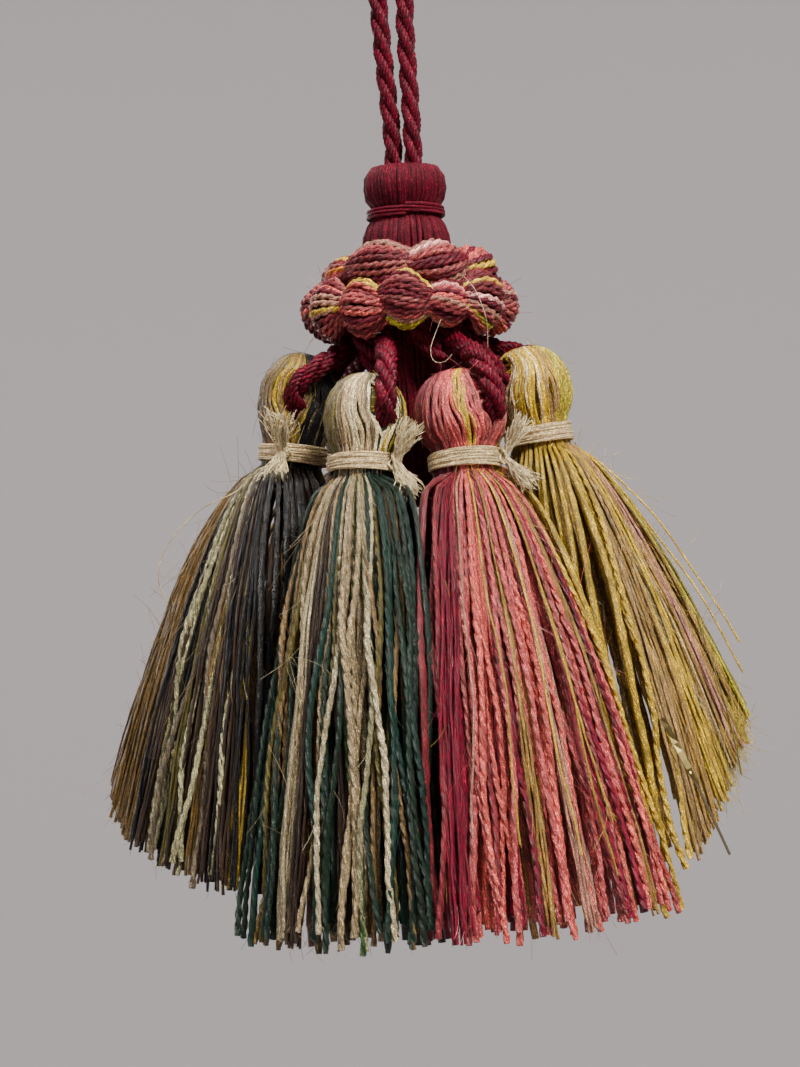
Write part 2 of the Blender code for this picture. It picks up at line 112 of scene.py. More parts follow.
# Cord loops.
LEG_CIRCLE_RADIUS = 6.7 * MM
LEG_TOP_Z = -53.1 * MM
LEG_FOOT_Z = -56.0 * MM
LOOP_CREST_LIMIT_Z = -58.5 * MM
LOOP_SAG = 0.3 * MM
LOOP_HALF_WIDTH = 4.3 * MM
LOOP_TURN_OUT = 0.72
LOOP_TURN_RISE = 0.28
LOOP_BIGHT_HEIGHT = 4.1 * MM
LOOP_SHOULDER_HEIGHT = 7.2 * MM

# Small tassels.
HEAD_DOME = ((0.27, 0.9), (0.44, 1.0), (0.68, 0.95), (0.86, 0.72), (0.96, 0.4))
HEAD_LEAN = 8.0
NECK_RADIUS = 3.55 * MM
NECK_HALF_HEIGHT = 1.6 * MM
WEDGE_MARGIN = -0.5

# azimuth, neck_radius and neck_z place the middle of a tassel's tie.  start and stop are the
# azimuths that bound its skirt's cut end, inner is its inner radius, and outer its outer radius
# at start and at stop.  trim is the share of their length that the outermost yarns lack: most at
# the start if trim_side is -1, and most at the stop if it is 1.  facing and aside turn and shift
# its cord loop, and crest is where that comes over the head: to the side, forwards and up from
# the neck.  front_leg and back_leg are where the legs of the loop stand in the ruff.  knot is the
# azimuth of the tie's knot, seen from the neck.
Tassel = namedtuple(
    "Tassel",
    "number azimuth neck_radius neck_z height width start stop inner outer length trim trim_side "
    "droop facing aside crest front_leg back_leg knot",
)
TASSELS = (
    Tassel(1, -84, 13.6, -68.4, 11.4, 8.8, -120, -40, 7, (38.0, 30.5), 47.5, 0.09, -1, 0.6,
           -14, 0.9, (3.8, 3.9, 9.8), -77, -104, -12),
    Tassel(2, -24.5, 13.2, -70.2, 9.9, 8.8, -40, 0, 7, (31.5, 31.5), 48.5, 0.02, 0, 0.55,
           -2, 2.3, (2.2, 2.3, 11.0), -25, -51, 50),
    Tassel(3, 22.5, 13.2, -70.2, 9.9, 9.8, 0, 52, 7, (32.5, 33.0), 48.5, 0.02, 0, 0.62,
           12, 2.9, (2.0, 2.3, 11.0), 38, 8, 78),
    Tassel(4, 84, 13.8, -67.3, 10.0, 9.2, 52, 120, 7, (34.0, 36.5), 48.0, 0.25, 1, 0.72,
           125, 0.0, (0.0, 2.3, 11.1), 104, 70, 150),
    Tassel(5, 150, 13.4, -69.0, 9.9, 9.2, 120, 180, 7, (34.0, 34.0), 48.0, 0.08, 0, 0.7,
           150, 0.0, (0.0, 2.3, 11.0), 132, 160, 190),
    Tassel(6, -150, 13.4, -69.0, 9.9, 9.2, -180, -120, 7, (34.0, 34.0), 48.0, 0.08, 0, 0.7,
           -150, 0.0, (0.0, 2.3, 11.0), -134, -162, -190),
)

# %% [markdown]
# ## Colours
#
# The dyer's shades, as red, green and blue from 0 to 255, with the lightness of a lit yarn.

# %% Colours
SHADES = {
    "crimson": (110, 18, 47),
    "deep crimson": (90, 13, 38),
    "bright crimson": (128, 24, 57),
    "rose": (176, 92, 92),
    "dusty rose": (152, 86, 84),
    "dark rose": (122, 48, 56),
    "coral": (190, 98, 90),
    "rust": (158, 84, 50),
    "pale pink": (222, 166, 160),
    "taupe pink": (170, 128, 112),
    "yellow": (206, 176, 62),
    "gold": (178, 152, 58),
    "chartreuse": (180, 170, 66),
    "olive": (126, 116, 56),
    "mustard": (144, 122, 48),
    "tan": (156, 130, 88),
    "ochre": (152, 124, 70),
    "dark tan": (112, 92, 60),
    "taupe": (132, 118, 96),
    "beige": (194, 174, 138),
    "cream": (222, 208, 172),
    "pale sage": (184, 178, 140),
    "green": (84, 118, 66),
    "dark green": (30, 66, 44),
    "teal": (14, 76, 62),
    "black": (26, 20, 20),
    "brown": (82, 60, 40),
    "amber": (186, 120, 44),
}


# Light that goes in between many fibres comes out deeper in colour than from one.
DYE_DEPTH = 1.3


def shade(name):
    """A shade as linear red, green and blue, deepened as it is in a bundle of yarn."""
    parts = np.array(SHADES[name], float) / 255
    linear = np.where(parts <= 0.04045, parts / 12.92, ((parts + 0.055) / 1.055) ** 2.4)
    return linear ** DYE_DEPTH


# %% [markdown]
# ## Routes
#
# A yarn's wire is a smooth curve through a few knots.  Its points lie evenly along it.

# %% Routes
def around(azimuth, radius, z):
    """The point at an azimuth, a radius and a height about the main axis."""
    angle = math.radians(azimuth)
    return np.array((radius * math.sin(angle), -radius * math.cos(angle), z))


def turned_points(angles, radii, heights):
    """Points about the main axis, from their angles in radians, radii and heights."""
    return np.column_stack([radii * np.sin(angles), -radii * np.cos(angles), heights])


def even_points(dense, step):
    """Points about one step apart along a close chain of points."""
    spans = np.linalg.norm(np.diff(dense, axis=0), axis=1)
    lengths = np.concatenate([[0.0], np.cumsum(spans)])
    count = max(2, round(lengths[-1] / step))
    targets = np.linspace(0, lengths[-1], count + 1)
    return np.column_stack([np.interp(targets, lengths, dense[:, axis]) for axis in range(3)])


def smooth_route(knots, step):
    """Points about one step apart on a smooth curve through the knots."""
    knots = np.array(knots, float)
    padded = np.vstack([2 * knots[0] - knots[1], knots, 2 * knots[-1] - knots[-2]])
    share = np.linspace(0, 1, 24, endpoint=False)[:, None]
    pieces = []
    for a, b, c, d in zip(padded, padded[1:], padded[2:], padded[3:]):
        cubic = (3 * b - a - 3 * c + d) * share ** 3
        square = (2 * a - 5 * b + 4 * c - d) * share ** 2
        pieces.append((2 * b + (c - a) * share + square + cubic) / 2)
    return even_points(np.vstack([*pieces, knots[-1:]]), step)


def wander(chance, shares, size):
    """A gentle irregular sway, none at the start of a yarn and about the size at its end."""
    slow, fast = chance.random(), chance.random()
    sway = np.sin(2 * math.pi * (0.7 * shares + slow))
    sway = sway + 0.45 * np.sin(2 * math.pi * (1.9 * shares + fast))
    return size * sway * np.minimum(1, shares * 2.5)


def neck_frame(tassel):
    """The middle of a tassel's tie, with its axes to the right, outwards and up."""
    angle = math.radians(tassel.azimuth)
    lean = math.radians(HEAD_LEAN)
    place = around(tassel.azimuth, tassel.neck_radius * MM, tassel.neck_z * MM)
    right = np.array((math.cos(angle), math.sin(angle), 0))
    away = np.array((math.sin(angle), -math.cos(angle), 0))
    rise = np.array((0, 0, 1))
    up = rise * math.cos(lean) - away * math.sin(lean)
    out = away * math.cos(lean) + rise * math.sin(lean)
    return place, right, out, up


def neck_points(tassel, angles, radii, heights):
    """Points about the middle of a tassel's tie, from their angles, radii and heights."""
    place, right, out, up = neck_frame(tassel)
    return (place + np.outer(radii * np.sin(angles), right)
            + np.outer(radii * np.cos(angles), out) + np.outer(heights, up))


# %% [markdown]
# ## The spinner
#
# Real yarn is spun: plies lie round each other at a steady pitch.  The tree does the same.  It
# takes wires that carry their colour and girth, lays two or three plies round each wire by
# turning its tilt, and sweeps a small circle along every ply.  It also writes down how far along
# the yarn a point is and where it is round the ply, so that the finish can draw its fibres.

# %% The spinner
SPIN_INPUTS = {
    "Plies": ("NodeSocketInt", 1),
    "Offset": ("NodeSocketFloat", 0.0),
    "Ply Girth": ("NodeSocketFloat", 1.0),
    "Pitch": ("NodeSocketFloat", 0.003),
    "Step": ("NodeSocketFloat", 0.001),
    "Sides": ("NodeSocketInt", 6),
    "Yarns": ("NodeSocketInt", 1),
    "Yarn Offset": ("NodeSocketFloat", 0.0),
    "Yarn Pitch": ("NodeSocketFloat", 0.01),
    "Finish": ("NodeSocketMaterial", None),
}


class Graph:
    """A few short words to build a node tree with."""

    def __init__(self, name, kind):
        self.tree = bpy.data.node_groups.new(name, kind)

    def socket(self, name, kind, inward=True, value=None):
        """Add an input or an output to the tree."""
        way = "INPUT" if inward else "OUTPUT"
        made = self.tree.interface.new_socket(name, in_out=way, socket_type=kind)
        if value is not None:
            made.default_value = value
        return made

    def node(self, kind, inputs=None, **settings):
        """Add a node, with its settings and with values or links for its inputs."""
        made = self.tree.nodes.new(kind)
        for key, value in settings.items():
            setattr(made, key, value)
        for key, value in (inputs or {}).items():
            if isinstance(value, bpy.types.NodeSocket):
                self.tree.links.new(value, made.inputs[key])
            else:
                made.inputs[key].default_value = value
        return made

    def math(self, operation, *values):
        """A Math node's output."""
        inputs = dict(enumerate(values))
        return self.node("ShaderNodeMath", inputs, operation=operation).outputs[0]


def spinner_tree():
    """The tree that spins wires into plied yarn."""
    graph = Graph("Plied yarn", "GeometryNodeTree")
    graph.socket("Geometry", "NodeSocketGeometry")
    for name, (kind, value) in SPIN_INPUTS.items():
        graph.socket(name, kind, value=value)
    graph.socket("Geometry", "NodeSocketGeometry", inward=False)
    given = graph.node("NodeGroupInput").outputs

    def named(name):
        return graph.node("GeometryNodeInputNamedAttribute", {"Name": name},
                          data_type="FLOAT").outputs["Attribute"]

    def store(name, geometry, value):
        return graph.node("GeometryNodeStoreNamedAttribute",
                          {"Geometry": geometry, "Name": name, "Value": value},
                          data_type="FLOAT", domain="POINT").outputs[0]

    wires = graph.node("GeometryNodeMeshToCurve", {"Mesh": given["Geometry"]}).outputs[0]
    even = graph.node("GeometryNodeResampleCurve", {"Curve": wires, "Length": given["Step"]},
                      mode="LENGTH").outputs[0]

    def twist(curves, count, offset, pitch, spread):
        """Lay copies of each curve round it, as strands are laid into a cord."""
        copies = graph.node("GeometryNodeDuplicateElements",
                            {"Geometry": curves, "Amount": count}, domain="SPLINE")
        index = copies.outputs["Duplicate Index"]
        length = graph.node("GeometryNodeSplineParameter").outputs["Length"]
        seeds = graph.math("ADD", named("seed"), graph.math("MULTIPLY", index, spread))
        marked = store("along", copies.outputs["Geometry"], length)
        marked = store("seed", marked, seeds)
        turns = graph.math("DIVIDE", graph.math("MULTIPLY", length, -2 * math.pi), pitch)
        phase = graph.math("DIVIDE", graph.math("MULTIPLY", index, 2 * math.pi), count)
        tilt = graph.math("ADD", graph.math("ADD", turns, phase), named("turn"))
        tilted = graph.node("GeometryNodeSetCurveTilt", {"Curve": marked, "Tilt": tilt}).outputs[0]
        normal = graph.node("GeometryNodeInputNormal").outputs["Normal"]
        reach = graph.math("MULTIPLY", named("girth"), offset)
        shift = graph.node("ShaderNodeVectorMath", {0: normal, "Scale": reach}, operation="SCALE")
        return graph.node("GeometryNodeSetPosition",
                          {"Geometry": tilted, "Offset": shift.outputs[0]}).outputs[0]

    seeded = store("seed", even, named("turn"))
    plies = twist(seeded, given["Plies"], given["Offset"], given["Pitch"], 1.7)
    laid = twist(plies, given["Yarns"], given["Yarn Offset"], given["Yarn Pitch"], 0.61)

    circle = graph.node("GeometryNodeCurvePrimitiveCircle",
                        {"Resolution": given["Sides"], "Radius": 1.0}).outputs[0]
    factor = graph.node("GeometryNodeSplineParameter").outputs["Factor"]
    angle = graph.math("MULTIPLY", factor, 2 * math.pi)
    circle = store("around_x", circle, graph.math("COSINE", angle))
    circle = store("around_y", circle, graph.math("SINE", angle))
    tubes = graph.node("GeometryNodeCurveToMesh", {
        "Curve": laid, "Profile Curve": circle, "Fill Caps": True,
        "Scale": graph.math("MULTIPLY", named("girth"), given["Ply Girth"]),
    }).outputs[0]
    smooth = graph.node("GeometryNodeSetShadeSmooth", {"Geometry": tubes}).outputs[0]
    real = graph.node("GeometryNodeRealizeInstances", {"Geometry": smooth}).outputs[0]
    done = graph.node("GeometryNodeSetMaterial",
                      {"Geometry": real, "Material": given["Finish"]}).outputs[0]
    graph.node("NodeGroupOutput", {"Geometry": done})
    return graph.tree


PLIED_YARN = spinner_tree()
SPIN_SOCKETS = {
    item.name: item.identifier
    for item in PLIED_YARN.interface.items_tree
    if item.item_type == "SOCKET" and item.in_out == "INPUT"
}

# How each kind of yarn is spun: plies, their offset and girth as shares of the yarn's, the pitch
# and step in metres, and the sides of a strand.  In a cord each ply is itself laid from yarns,
# with an offset and a pitch of their own.
Spin = namedtuple("Spin", "plies offset girth pitch step sides yarns yarn_offset yarn_pitch",
                  defaults=(1, 0.0, 0.01))
HANGING_SPIN = Spin(3, 0.46, 0.22, HANGING_CORD_PITCH, 0.55 * MM, 5, 7, 0.35, -4.6 * MM)
SMALL_CORD_SPIN = Spin(3, 0.46, 0.23, SMALL_CORD_PITCH, 0.55 * MM, 5, 6, 0.34, -4.0 * MM)
YARN_SPIN = Spin(2, 0.31, 0.72, 3.1 * MM, 0.52 * MM, 4)
BACK_YARN_SPIN = Spin(2, 0.31, 0.72, 3.1 * MM, 0.72 * MM, 4)
FLOSS_SPIN = Spin(1, 0.0, 1.0, 9.0 * MM, 1.4 * MM, 4)
RUFF_SPIN = Spin(2, 0.42, 0.64, 2.2 * MM, 0.42 * MM, 4)
HEAD_SPIN = Spin(1, 0.0, 1.0, 6.0 * MM, 0.7 * MM, 4)
COLLAR_SPIN = Spin(1, 0.0, 1.0, 6.0 * MM, 1.15 * MM, 4)
THREAD_SPIN = Spin(1, 0.0, 1.0, 3.0 * MM, 0.5 * MM, 5)
TIE_SPIN = Spin(1, 0.0, 1.0, 3.0 * MM, 0.65 * MM, 4)
BRUSH_SPIN = Spin(1, 0.0, 1.0, 5.0 * MM, 0.9 * MM, 3)
FIBRE_SPIN = Spin(1, 0.0, 1.0, 5.0 * MM, 1.0 * MM, 3)

# A yarn's wire: its points, its colour, its girth (the radius, or one for each point) and where
# its twist starts.
Strand = namedtuple("Strand", "points colour girth turn")


def lay_out(name, strands):
    """A mesh of wires that carry their colour, girth and twist."""
    places = np.vstack([strand.points for strand in strands])
    counts = np.array([len(strand.points) for strand in strands])
    starts = np.cumsum([0, *counts[:-1]])
    edges = [(place, place + 1) for start, count in zip(starts, counts)
             for place in range(start, start + count - 1)]
    mesh = bpy.data.meshes.new(name)
    mesh.from_pydata(places.tolist(), edges, [])
    colours = np.vstack([np.broadcast_to([*strand.colour, 1.0], (count, 4))
                         for strand, count in zip(strands, counts)])
    girths = np.concatenate([np.broadcast_to(strand.girth, count)
                             for strand, count in zip(strands, counts)])
    tint = mesh.attributes.new("tint", "FLOAT_COLOR", "POINT")
    tint.data.foreach_set("color", colours.astype(np.float32).ravel())
    girth = mesh.attributes.new("girth", "FLOAT", "POINT")
    girth.data.foreach_set("value", girths.astype(np.float32))
    turn = mesh.attributes.new("turn", "FLOAT", "POINT")
    turn.data.foreach_set("value", np.repeat([strand.turn for strand in strands],
                                             counts).astype(np.float32))
    return mesh


totals = {}


def spin(name, strands, finish, style):
    """Spin strands into one closed mesh object."""
    item = bpy.data.objects.new(name, lay_out(name, strands))
    bpy.context.scene.collection.objects.link(item)
    item.data.materials.append(finish)
    yarn = item.modifiers.new("Plied yarn", "NODES")
    yarn.node_group = PLIED_YARN
    for key, value in zip(SPIN_INPUTS, (*style, finish)):
        yarn[SPIN_SOCKETS[key]] = value
    graph = bpy.context.evaluated_depsgraph_get()
    solid = bpy.data.meshes.new_from_object(
        item.evaluated_get(graph), preserve_all_data_layers=True, depsgraph=graph)
    item.modifiers.clear()
    item.data = solid
    solid.name = name
    totals[name] = sum(len(face.vertices) - 2 for face in solid.polygons)
    print(f"{name}: {len(strands)} strands, {totals[name]} triangles")
    return item


# %% [markdown]
# ## The finish
#
# Yarn is a bundle of fibres.  The finish draws them as long thin streaks in the yarn's own
# coordinates, with a colour that drifts along the yarn.  A few fibres are painted brighter, as
# painted glints, and made smoother.
# All materials share it, and each has its own fineness and gloss.

# %% The finish
# The darkest and the lightest that a colour gets along a yarn, between which noises a painted
# glint comes up, how much brighter its colour is painted there, and how much smoother the yarn is.
MOTTLING = (0.55, 1.4)
GLINT_LIMITS = (0.58, 0.65)
GLINT_GLOW = 3.2
GLINT_GLOSS = 0.45
BUMP_DISTANCE = 0.17 * MM


def fibre_group():
    """The shader group that turns a yarn's colour and coordinates into fibres."""
    graph = Graph("Fibres", "ShaderNodeTree")
    graph.socket("Streaks", "NodeSocketFloat", value=4.0)
    graph.socket("Contrast", "NodeSocketFloat", value=0.5)
    graph.socket("Gloss", "NodeSocketFloat", value=0.5)
    graph.socket("Base Color", "NodeSocketColor", inward=False)
    graph.socket("Roughness", "NodeSocketFloat", inward=False)
    graph.socket("Height", "NodeSocketFloat", inward=False)
    given = graph.node("NodeGroupInput").outputs

    def named(name, output="Fac"):
        return graph.node("ShaderNodeAttribute", attribute_name=name,
                          attribute_type="GEOMETRY").outputs[output]

    tint, along, seed = named("tint", "Color"), named("along"), named("seed")
    length = graph.math("MULTIPLY", along, 1 / MM)
    streaky = graph.math("ADD", graph.math("MULTIPLY", length, 0.16),
                         graph.math("MULTIPLY", seed, 31.0))
    place = graph.node("ShaderNodeCombineXYZ", {
        "X": named("around_x"), "Y": named("around_y"), "Z": streaky}).outputs[0]
    fine = graph.node("ShaderNodeTexNoise", {
        "Vector": place, "Scale": given["Streaks"], "Detail": 3.0, "Roughness": 0.65},
        noise_dimensions="3D").outputs[0]
    drift_place = graph.node("ShaderNodeCombineXYZ", {
        "X": graph.math("MULTIPLY", length, 0.4),
        "Y": graph.math("MULTIPLY", seed, 17.0)}).outputs[0]
    drift = graph.node("ShaderNodeTexNoise", {
        "Vector": drift_place, "Scale": 1.0, "Detail": 4.0}).outputs[0]
    mottled = graph.node("ShaderNodeMapRange", {
        "Value": drift, "From Min": 0.3, "From Max": 0.7,
        "To Min": MOTTLING[0], "To Max": MOTTLING[1]}).outputs[0]
    fibre = graph.node("ShaderNodeMapRange", {
        "Value": fine, "From Min": 0.34, "From Max": 0.66,
        "To Min": -1.0, "To Max": 1.0}).outputs[0]
    streaked = graph.math("ADD", graph.math("MULTIPLY", fibre, given["Contrast"]), 1.0)
    strength = graph.math("MULTIPLY", mottled, streaked)
    dyed = graph.node("ShaderNodeVectorMath", {0: tint, "Scale": strength},
                      operation="SCALE").outputs[0]
    glint_place = graph.node("ShaderNodeCombineXYZ", {
        "X": named("around_x"), "Y": named("around_y"),
        "Z": graph.math("ADD", graph.math("MULTIPLY", length, 1.5),
                        graph.math("MULTIPLY", seed, 13.0))}).outputs[0]
    glint_noise = graph.node("ShaderNodeTexNoise", {
        "Vector": glint_place, "Scale": 3.4, "Detail": 1.0}).outputs[0]
    glint_mask = graph.node("ShaderNodeMapRange", {
        "Value": glint_noise, "From Min": GLINT_LIMITS[0], "From Max": GLINT_LIMITS[1],
        "To Min": 0.0, "To Max": 1.0}).outputs[0]
    # Painted glints: where the noise passes its limits the colour is painted brighter, and the yarn
    # is smoother.
    glow = graph.math("ADD", graph.math("MULTIPLY", glint_mask, GLINT_GLOW), 1.0)
    lit = graph.node("ShaderNodeVectorMath", {0: dyed, "Scale": glow}, operation="SCALE").outputs[0]
    smoother = graph.math("SUBTRACT", 1.0, graph.math("MULTIPLY", glint_mask, GLINT_GLOSS))
    rough = graph.math("MULTIPLY", given["Gloss"], smoother)
    graph.node("NodeGroupOutput", {"Base Color": lit, "Roughness": rough, "Height": fine})
    return graph.tree


FIBRES = fibre_group()


def yarn_finish(name, streaks, contrast, roughness, sheen, specular=0.4):
    """A yarn material that takes its colour from the strand."""
    finish = bpy.data.materials.new(name)
    finish.use_nodes = True
    nodes, links = finish.node_tree.nodes, finish.node_tree.links
    shader = nodes["Principled BSDF"]
    fibres = nodes.new("ShaderNodeGroup")
    fibres.node_tree = FIBRES
    fibres.inputs["Streaks"].default_value = streaks
    fibres.inputs["Contrast"].default_value = contrast
    fibres.inputs["Gloss"].default_value = roughness
    bump = nodes.new("ShaderNodeBump")
    bump.inputs["Strength"].default_value = 1.0
    bump.inputs["Distance"].default_value = BUMP_DISTANCE
    links.new(fibres.outputs["Height"], bump.inputs["Height"])
    links.new(fibres.outputs["Base Color"], shader.inputs["Base Color"])
    links.new(fibres.outputs["Roughness"], shader.inputs["Roughness"])
    links.new(bump.outputs["Normal"], shader.inputs["Normal"])
    shader.inputs["Specular IOR Level"].default_value = specular
    shader.inputs["Sheen Weight"].default_value = sheen
    shader.inputs["Sheen Roughness"].default_value = 0.4
    return finish


# Each finish: how many streaks, their contrast, roughness, sheen and specular level.
CORD_FINISH = yarn_finish("crimson cord", 3.0, 0.55, 0.45, 0.0, 0.2)
HEAD_FINISH = yarn_finish("collar yarn", 3.0, 0.3, 0.6, 0.01, 0.15)
RUFF_FINISH = yarn_finish("ruff yarn", 3.5, 0.5, 0.38, 0.02, 0.3)
TIE_FINISH = yarn_finish("tie thread", 3.5, 0.3, 0.5, 0.1)
SKIRT_FINISH = yarn_finish("tassel yarn", 4.5, 0.65, 0.29, 0.01, 0.42)
FIBRE_FINISH = yarn_finish("stray fibre", 2.0, 0.3, 0.3, 0.1, 0.6)


def place_piece(item, nodes=()):
    """Fix a piece to the body of the object, and hide the solids that it stands for."""
    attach(item, "root")
    if nodes:
        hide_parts(*nodes)


# %% [markdown]
# ## The hanging cord
#
# Three crimson plies with an S twist, folded into a loop whose legs meet below an eye and go
# down into the collar.

# %% The hanging cord
def half_turned(point):
    """A point turned half round the main axis."""
    return (-point[0], -point[1], point[2])


def leg_lean(z):
    """How far to the left the hanging cord leans at a height."""
    foot = HANGING_LEG[-1][2] * MM
    share = z / LEG_LEAN_Z if z > LEG_LEAN_Z else (z - foot) / (LEG_LEAN_Z - foot)
    return LEG_LEAN * share ** 2 * (3 - 2 * share)


right_leg = [np.array(point) * MM for point in HANGING_LEG]
left_leg = [np.array(half_turned(point)) for point in right_leg]
hanging_knots = [np.array((knot[0] - leg_lean(knot[2]), knot[1], knot[2]))
                 for knot in left_leg[::-1] + right_leg[1:]]
hanging_route = smooth_route(hanging_knots, 0.5 * MM)
hanging_strand = Strand(hanging_route, shade("crimson"), HANGING_CORD_DIAMETER / 2, 0.0)
hanging_cord = spin("hanging_cord", [hanging_strand], CORD_FINISH, HANGING_SPIN)
place_piece(hanging_cord, ["hanging_loop"])

# %% [markdown]
# ## The collar
#
# A bundle of soft crimson yarn is folded outwards over the end of the cord and bound below.  Each
# yarn goes up inside, over the top edge, down under the binding and on down the core.  A plain
# core closes the inside.

# %% The collar
COLLAR_YARNS = 104
COLLAR_YARN_RADIUS = 0.25 * MM
BINDING_THREAD_RADIUS = 0.2 * MM
BINDING_WRAPS = 3
BINDING_TOP_Z = -41.5 * MM
BINDING_FOOT_Z = -42.6 * MM
BINDING_RADIUS = 4.2 * MM
COLLAR_DEPTH = 0.78
# How far a yarn sways round the collar, in degrees.
COLLAR_SWAY = 3.4
CORE_INSET = 0.5 * MM
CORE_TOP_DROP = 0.4 * MM
CORE_SIDES = 24
# The insides of bundles are this much darker than the yarn.
SHADOW = 0.5


def loft_faces(rings, sides):
    """The faces of a closed solid whose points run ring after ring."""
    faces = []
    for low in range(0, (rings - 1) * sides, sides):
        high = low + sides
        for side in range(sides):
            following = (side + 1) % sides
            faces.append((low + side, high + side, high + following, low + following))
    faces.append(tuple(range(sides)))
    faces.append(tuple(range((rings - 1) * sides, rings * sides))[::-1])
    return faces


def plain_solid(name, points, faces, finish, colour):
    """A smooth mesh object of one colour."""
    mesh = bpy.data.meshes.new(name)
    mesh.from_pydata([tuple(point) for point in points], [], faces)
    tint = mesh.attributes.new("tint", "FLOAT_COLOR", "POINT")
    tint.data.foreach_set("color", np.tile([*colour, 1.0], len(points)).astype(np.float32))
    for key in ("along", "seed", "around_x", "around_y"):
        mesh.attributes.new(key, "FLOAT", "POINT")
    mesh.attributes["along"].data.foreach_set("value", [point[2] for point in points])
    mesh.attributes["around_x"].data.foreach_set("value", [point[0] / (3 * MM) for point in points])
    mesh.attributes["around_y"].data.foreach_set("value", [point[1] / (3 * MM) for point in points])
    mesh.materials.append(finish)
    mesh.shade_smooth()
    item = bpy.data.objects.new(name, mesh)
    bpy.context.scene.collection.objects.link(item)
    totals[name] = sum(len(face.vertices) - 2 for face in mesh.polygons)
    return item


chance = random.Random(11)
collar_strands = []
collar_line = smooth_route([(radius * MM, 0, z * MM) for radius, z in COLLAR_RINGS], 0.5 * MM)
collar_shares = np.linspace(0, 1, len(collar_line))
for number in range(COLLAR_YARNS):
    azimuth = 360 * number / COLLAR_YARNS
    sway = azimuth + wander(chance, collar_shares, COLLAR_SWAY)
    depth = 0.09 * MM * chance.random() + wander(chance, collar_shares, 0.08 * MM)
    radius = collar_line[:, 0] - COLLAR_YARN_RADIUS * 0.8 - depth
    points = turned_points(np.radians(sway), radius, collar_line[:, 2])
    name = chance.choice(("crimson", "crimson", "crimson", "deep crimson"))
    tint = shade(name) * COLLAR_DEPTH
    collar_strands.append(Strand(points, tint, COLLAR_YARN_RADIUS, chance.random() * 6))
collar = spin("collar", collar_strands, HEAD_FINISH, COLLAR_SPIN)
place_piece(collar, ["head"])

core_rings = [(radius * MM - CORE_INSET, z * MM) for radius, z in COLLAR_RINGS[2:]]
core_rings[0] = (core_rings[0][0], core_rings[0][1] - CORE_TOP_DROP)
core_points = [around(360 * side / CORE_SIDES, radius, z)
               for radius, z in core_rings[::-1] for side in range(CORE_SIDES)]
core = plain_solid("collar_core", core_points, loft_faces(len(core_rings), CORE_SIDES),
                   HEAD_FINISH, shade("deep crimson") * SHADOW)
place_piece(core)

turns = np.linspace(0, BINDING_WRAPS * 2 * math.pi, 160)
drop = np.linspace(BINDING_TOP_Z, BINDING_FOOT_Z, len(turns))
radius = BINDING_RADIUS + 0.05 * MM * np.sin(turns * 3.3)
binding_strand = Strand(turned_points(turns, radius, drop), shade("crimson"),
                        BINDING_THREAD_RADIUS, 0.0)
binding = spin("collar_binding_thread", [binding_strand], HEAD_FINISH, THREAD_SPIN)
place_piece(binding, ["collar_binding"])

# %% [markdown]
# ## The ruff
#
# Two rows of knotted lobes.  In each lobe a handful of two-ply yarns arch across from pinch to
# pinch, and each lobe leans its own way.  A dark ring behind them closes the gaps.

# %% The ruff
RUFF_YARN_RADIUS = 0.41 * MM
LOBE_TUCK = 1.24
LOBE_WIDTH = 1.14
# How much the yarns of a lobe gather at its pinches, how much thinner it gets where it tucks in,
# and how far a yarn strays and skews in its section, in degrees.
LOBE_GATHER = 0.3
LOBE_THINNING = 0.62
LOBE_STRAY = 3
LOBE_SKEW = 4
HEART_SHARE = 0.34
HEART_SIDES = 40
# How each lobe leans in degrees, its size as a share of its row's, and its lift in millimetres.
LobeShape = namedtuple("LobeShape", "lean size lift")
LOWER_SHAPES = (
    LobeShape(-14, 1.02, 0.3), LobeShape(-18, 0.84, -0.2), LobeShape(-22, 1.16, 0.1),
    LobeShape(-10, 1.1, 0.0), LobeShape(10, 1.0, 0.2), LobeShape(-12, 1.06, -0.2),
    LobeShape(14, 0.96, 0.1), LobeShape(-8, 1.08, 0.0), LobeShape(12, 1.0, 0.2),
    LobeShape(-14, 0.94, -0.1), LobeShape(10, 1.06, 0.1), LobeShape(8, 1.12, -0.2),
    LobeShape(-8, 1.06, -0.4),
)
UPPER_SHAPES = (
    LobeShape(22, 1.04, 0.0), LobeShape(20, 1.06, -0.3), LobeShape(-12, 1.0, 0.1),
    LobeShape(14, 0.98, -0.1), LobeShape(-14, 1.04, 0.1), LobeShape(12, 1.0, -0.1),
    LobeShape(18, 0.76, -0.4), LobeShape(2, 1.06, 0.1),
)
# The shades of the yarns, and those of a few that stand out, counted from the lowest up.
RUFF_SHADES = ("dusty rose", "rose", "dusty rose", "dark rose", "coral", "dark rose",
               "dusty rose", "crimson", "rose", "taupe pink")
RUFF_DEPTH = 0.88
LOWER_ACCENTS = {0: {0: "chartreuse", 1: "chartreuse", 12: "yellow", 7: "crimson", 5: "dark rose"},
                 1: {10: "pale pink", 3: "crimson"},
                 2: {9: "yellow", 2: "chartreuse", 6: "pale pink"},
                 12: {12: "yellow", 11: "gold", 4: "crimson"},
                 11: {6: "gold", 9: "crimson"}}
UPPER_ACCENTS = {7: {2: "crimson", 8: "taupe pink"}, 6: {5: "amber", 8: "yellow", 9: "yellow"},
                 0: {4: "crimson", 8: "pale pink"}, 1: {8: "coral", 5: "yellow"}}


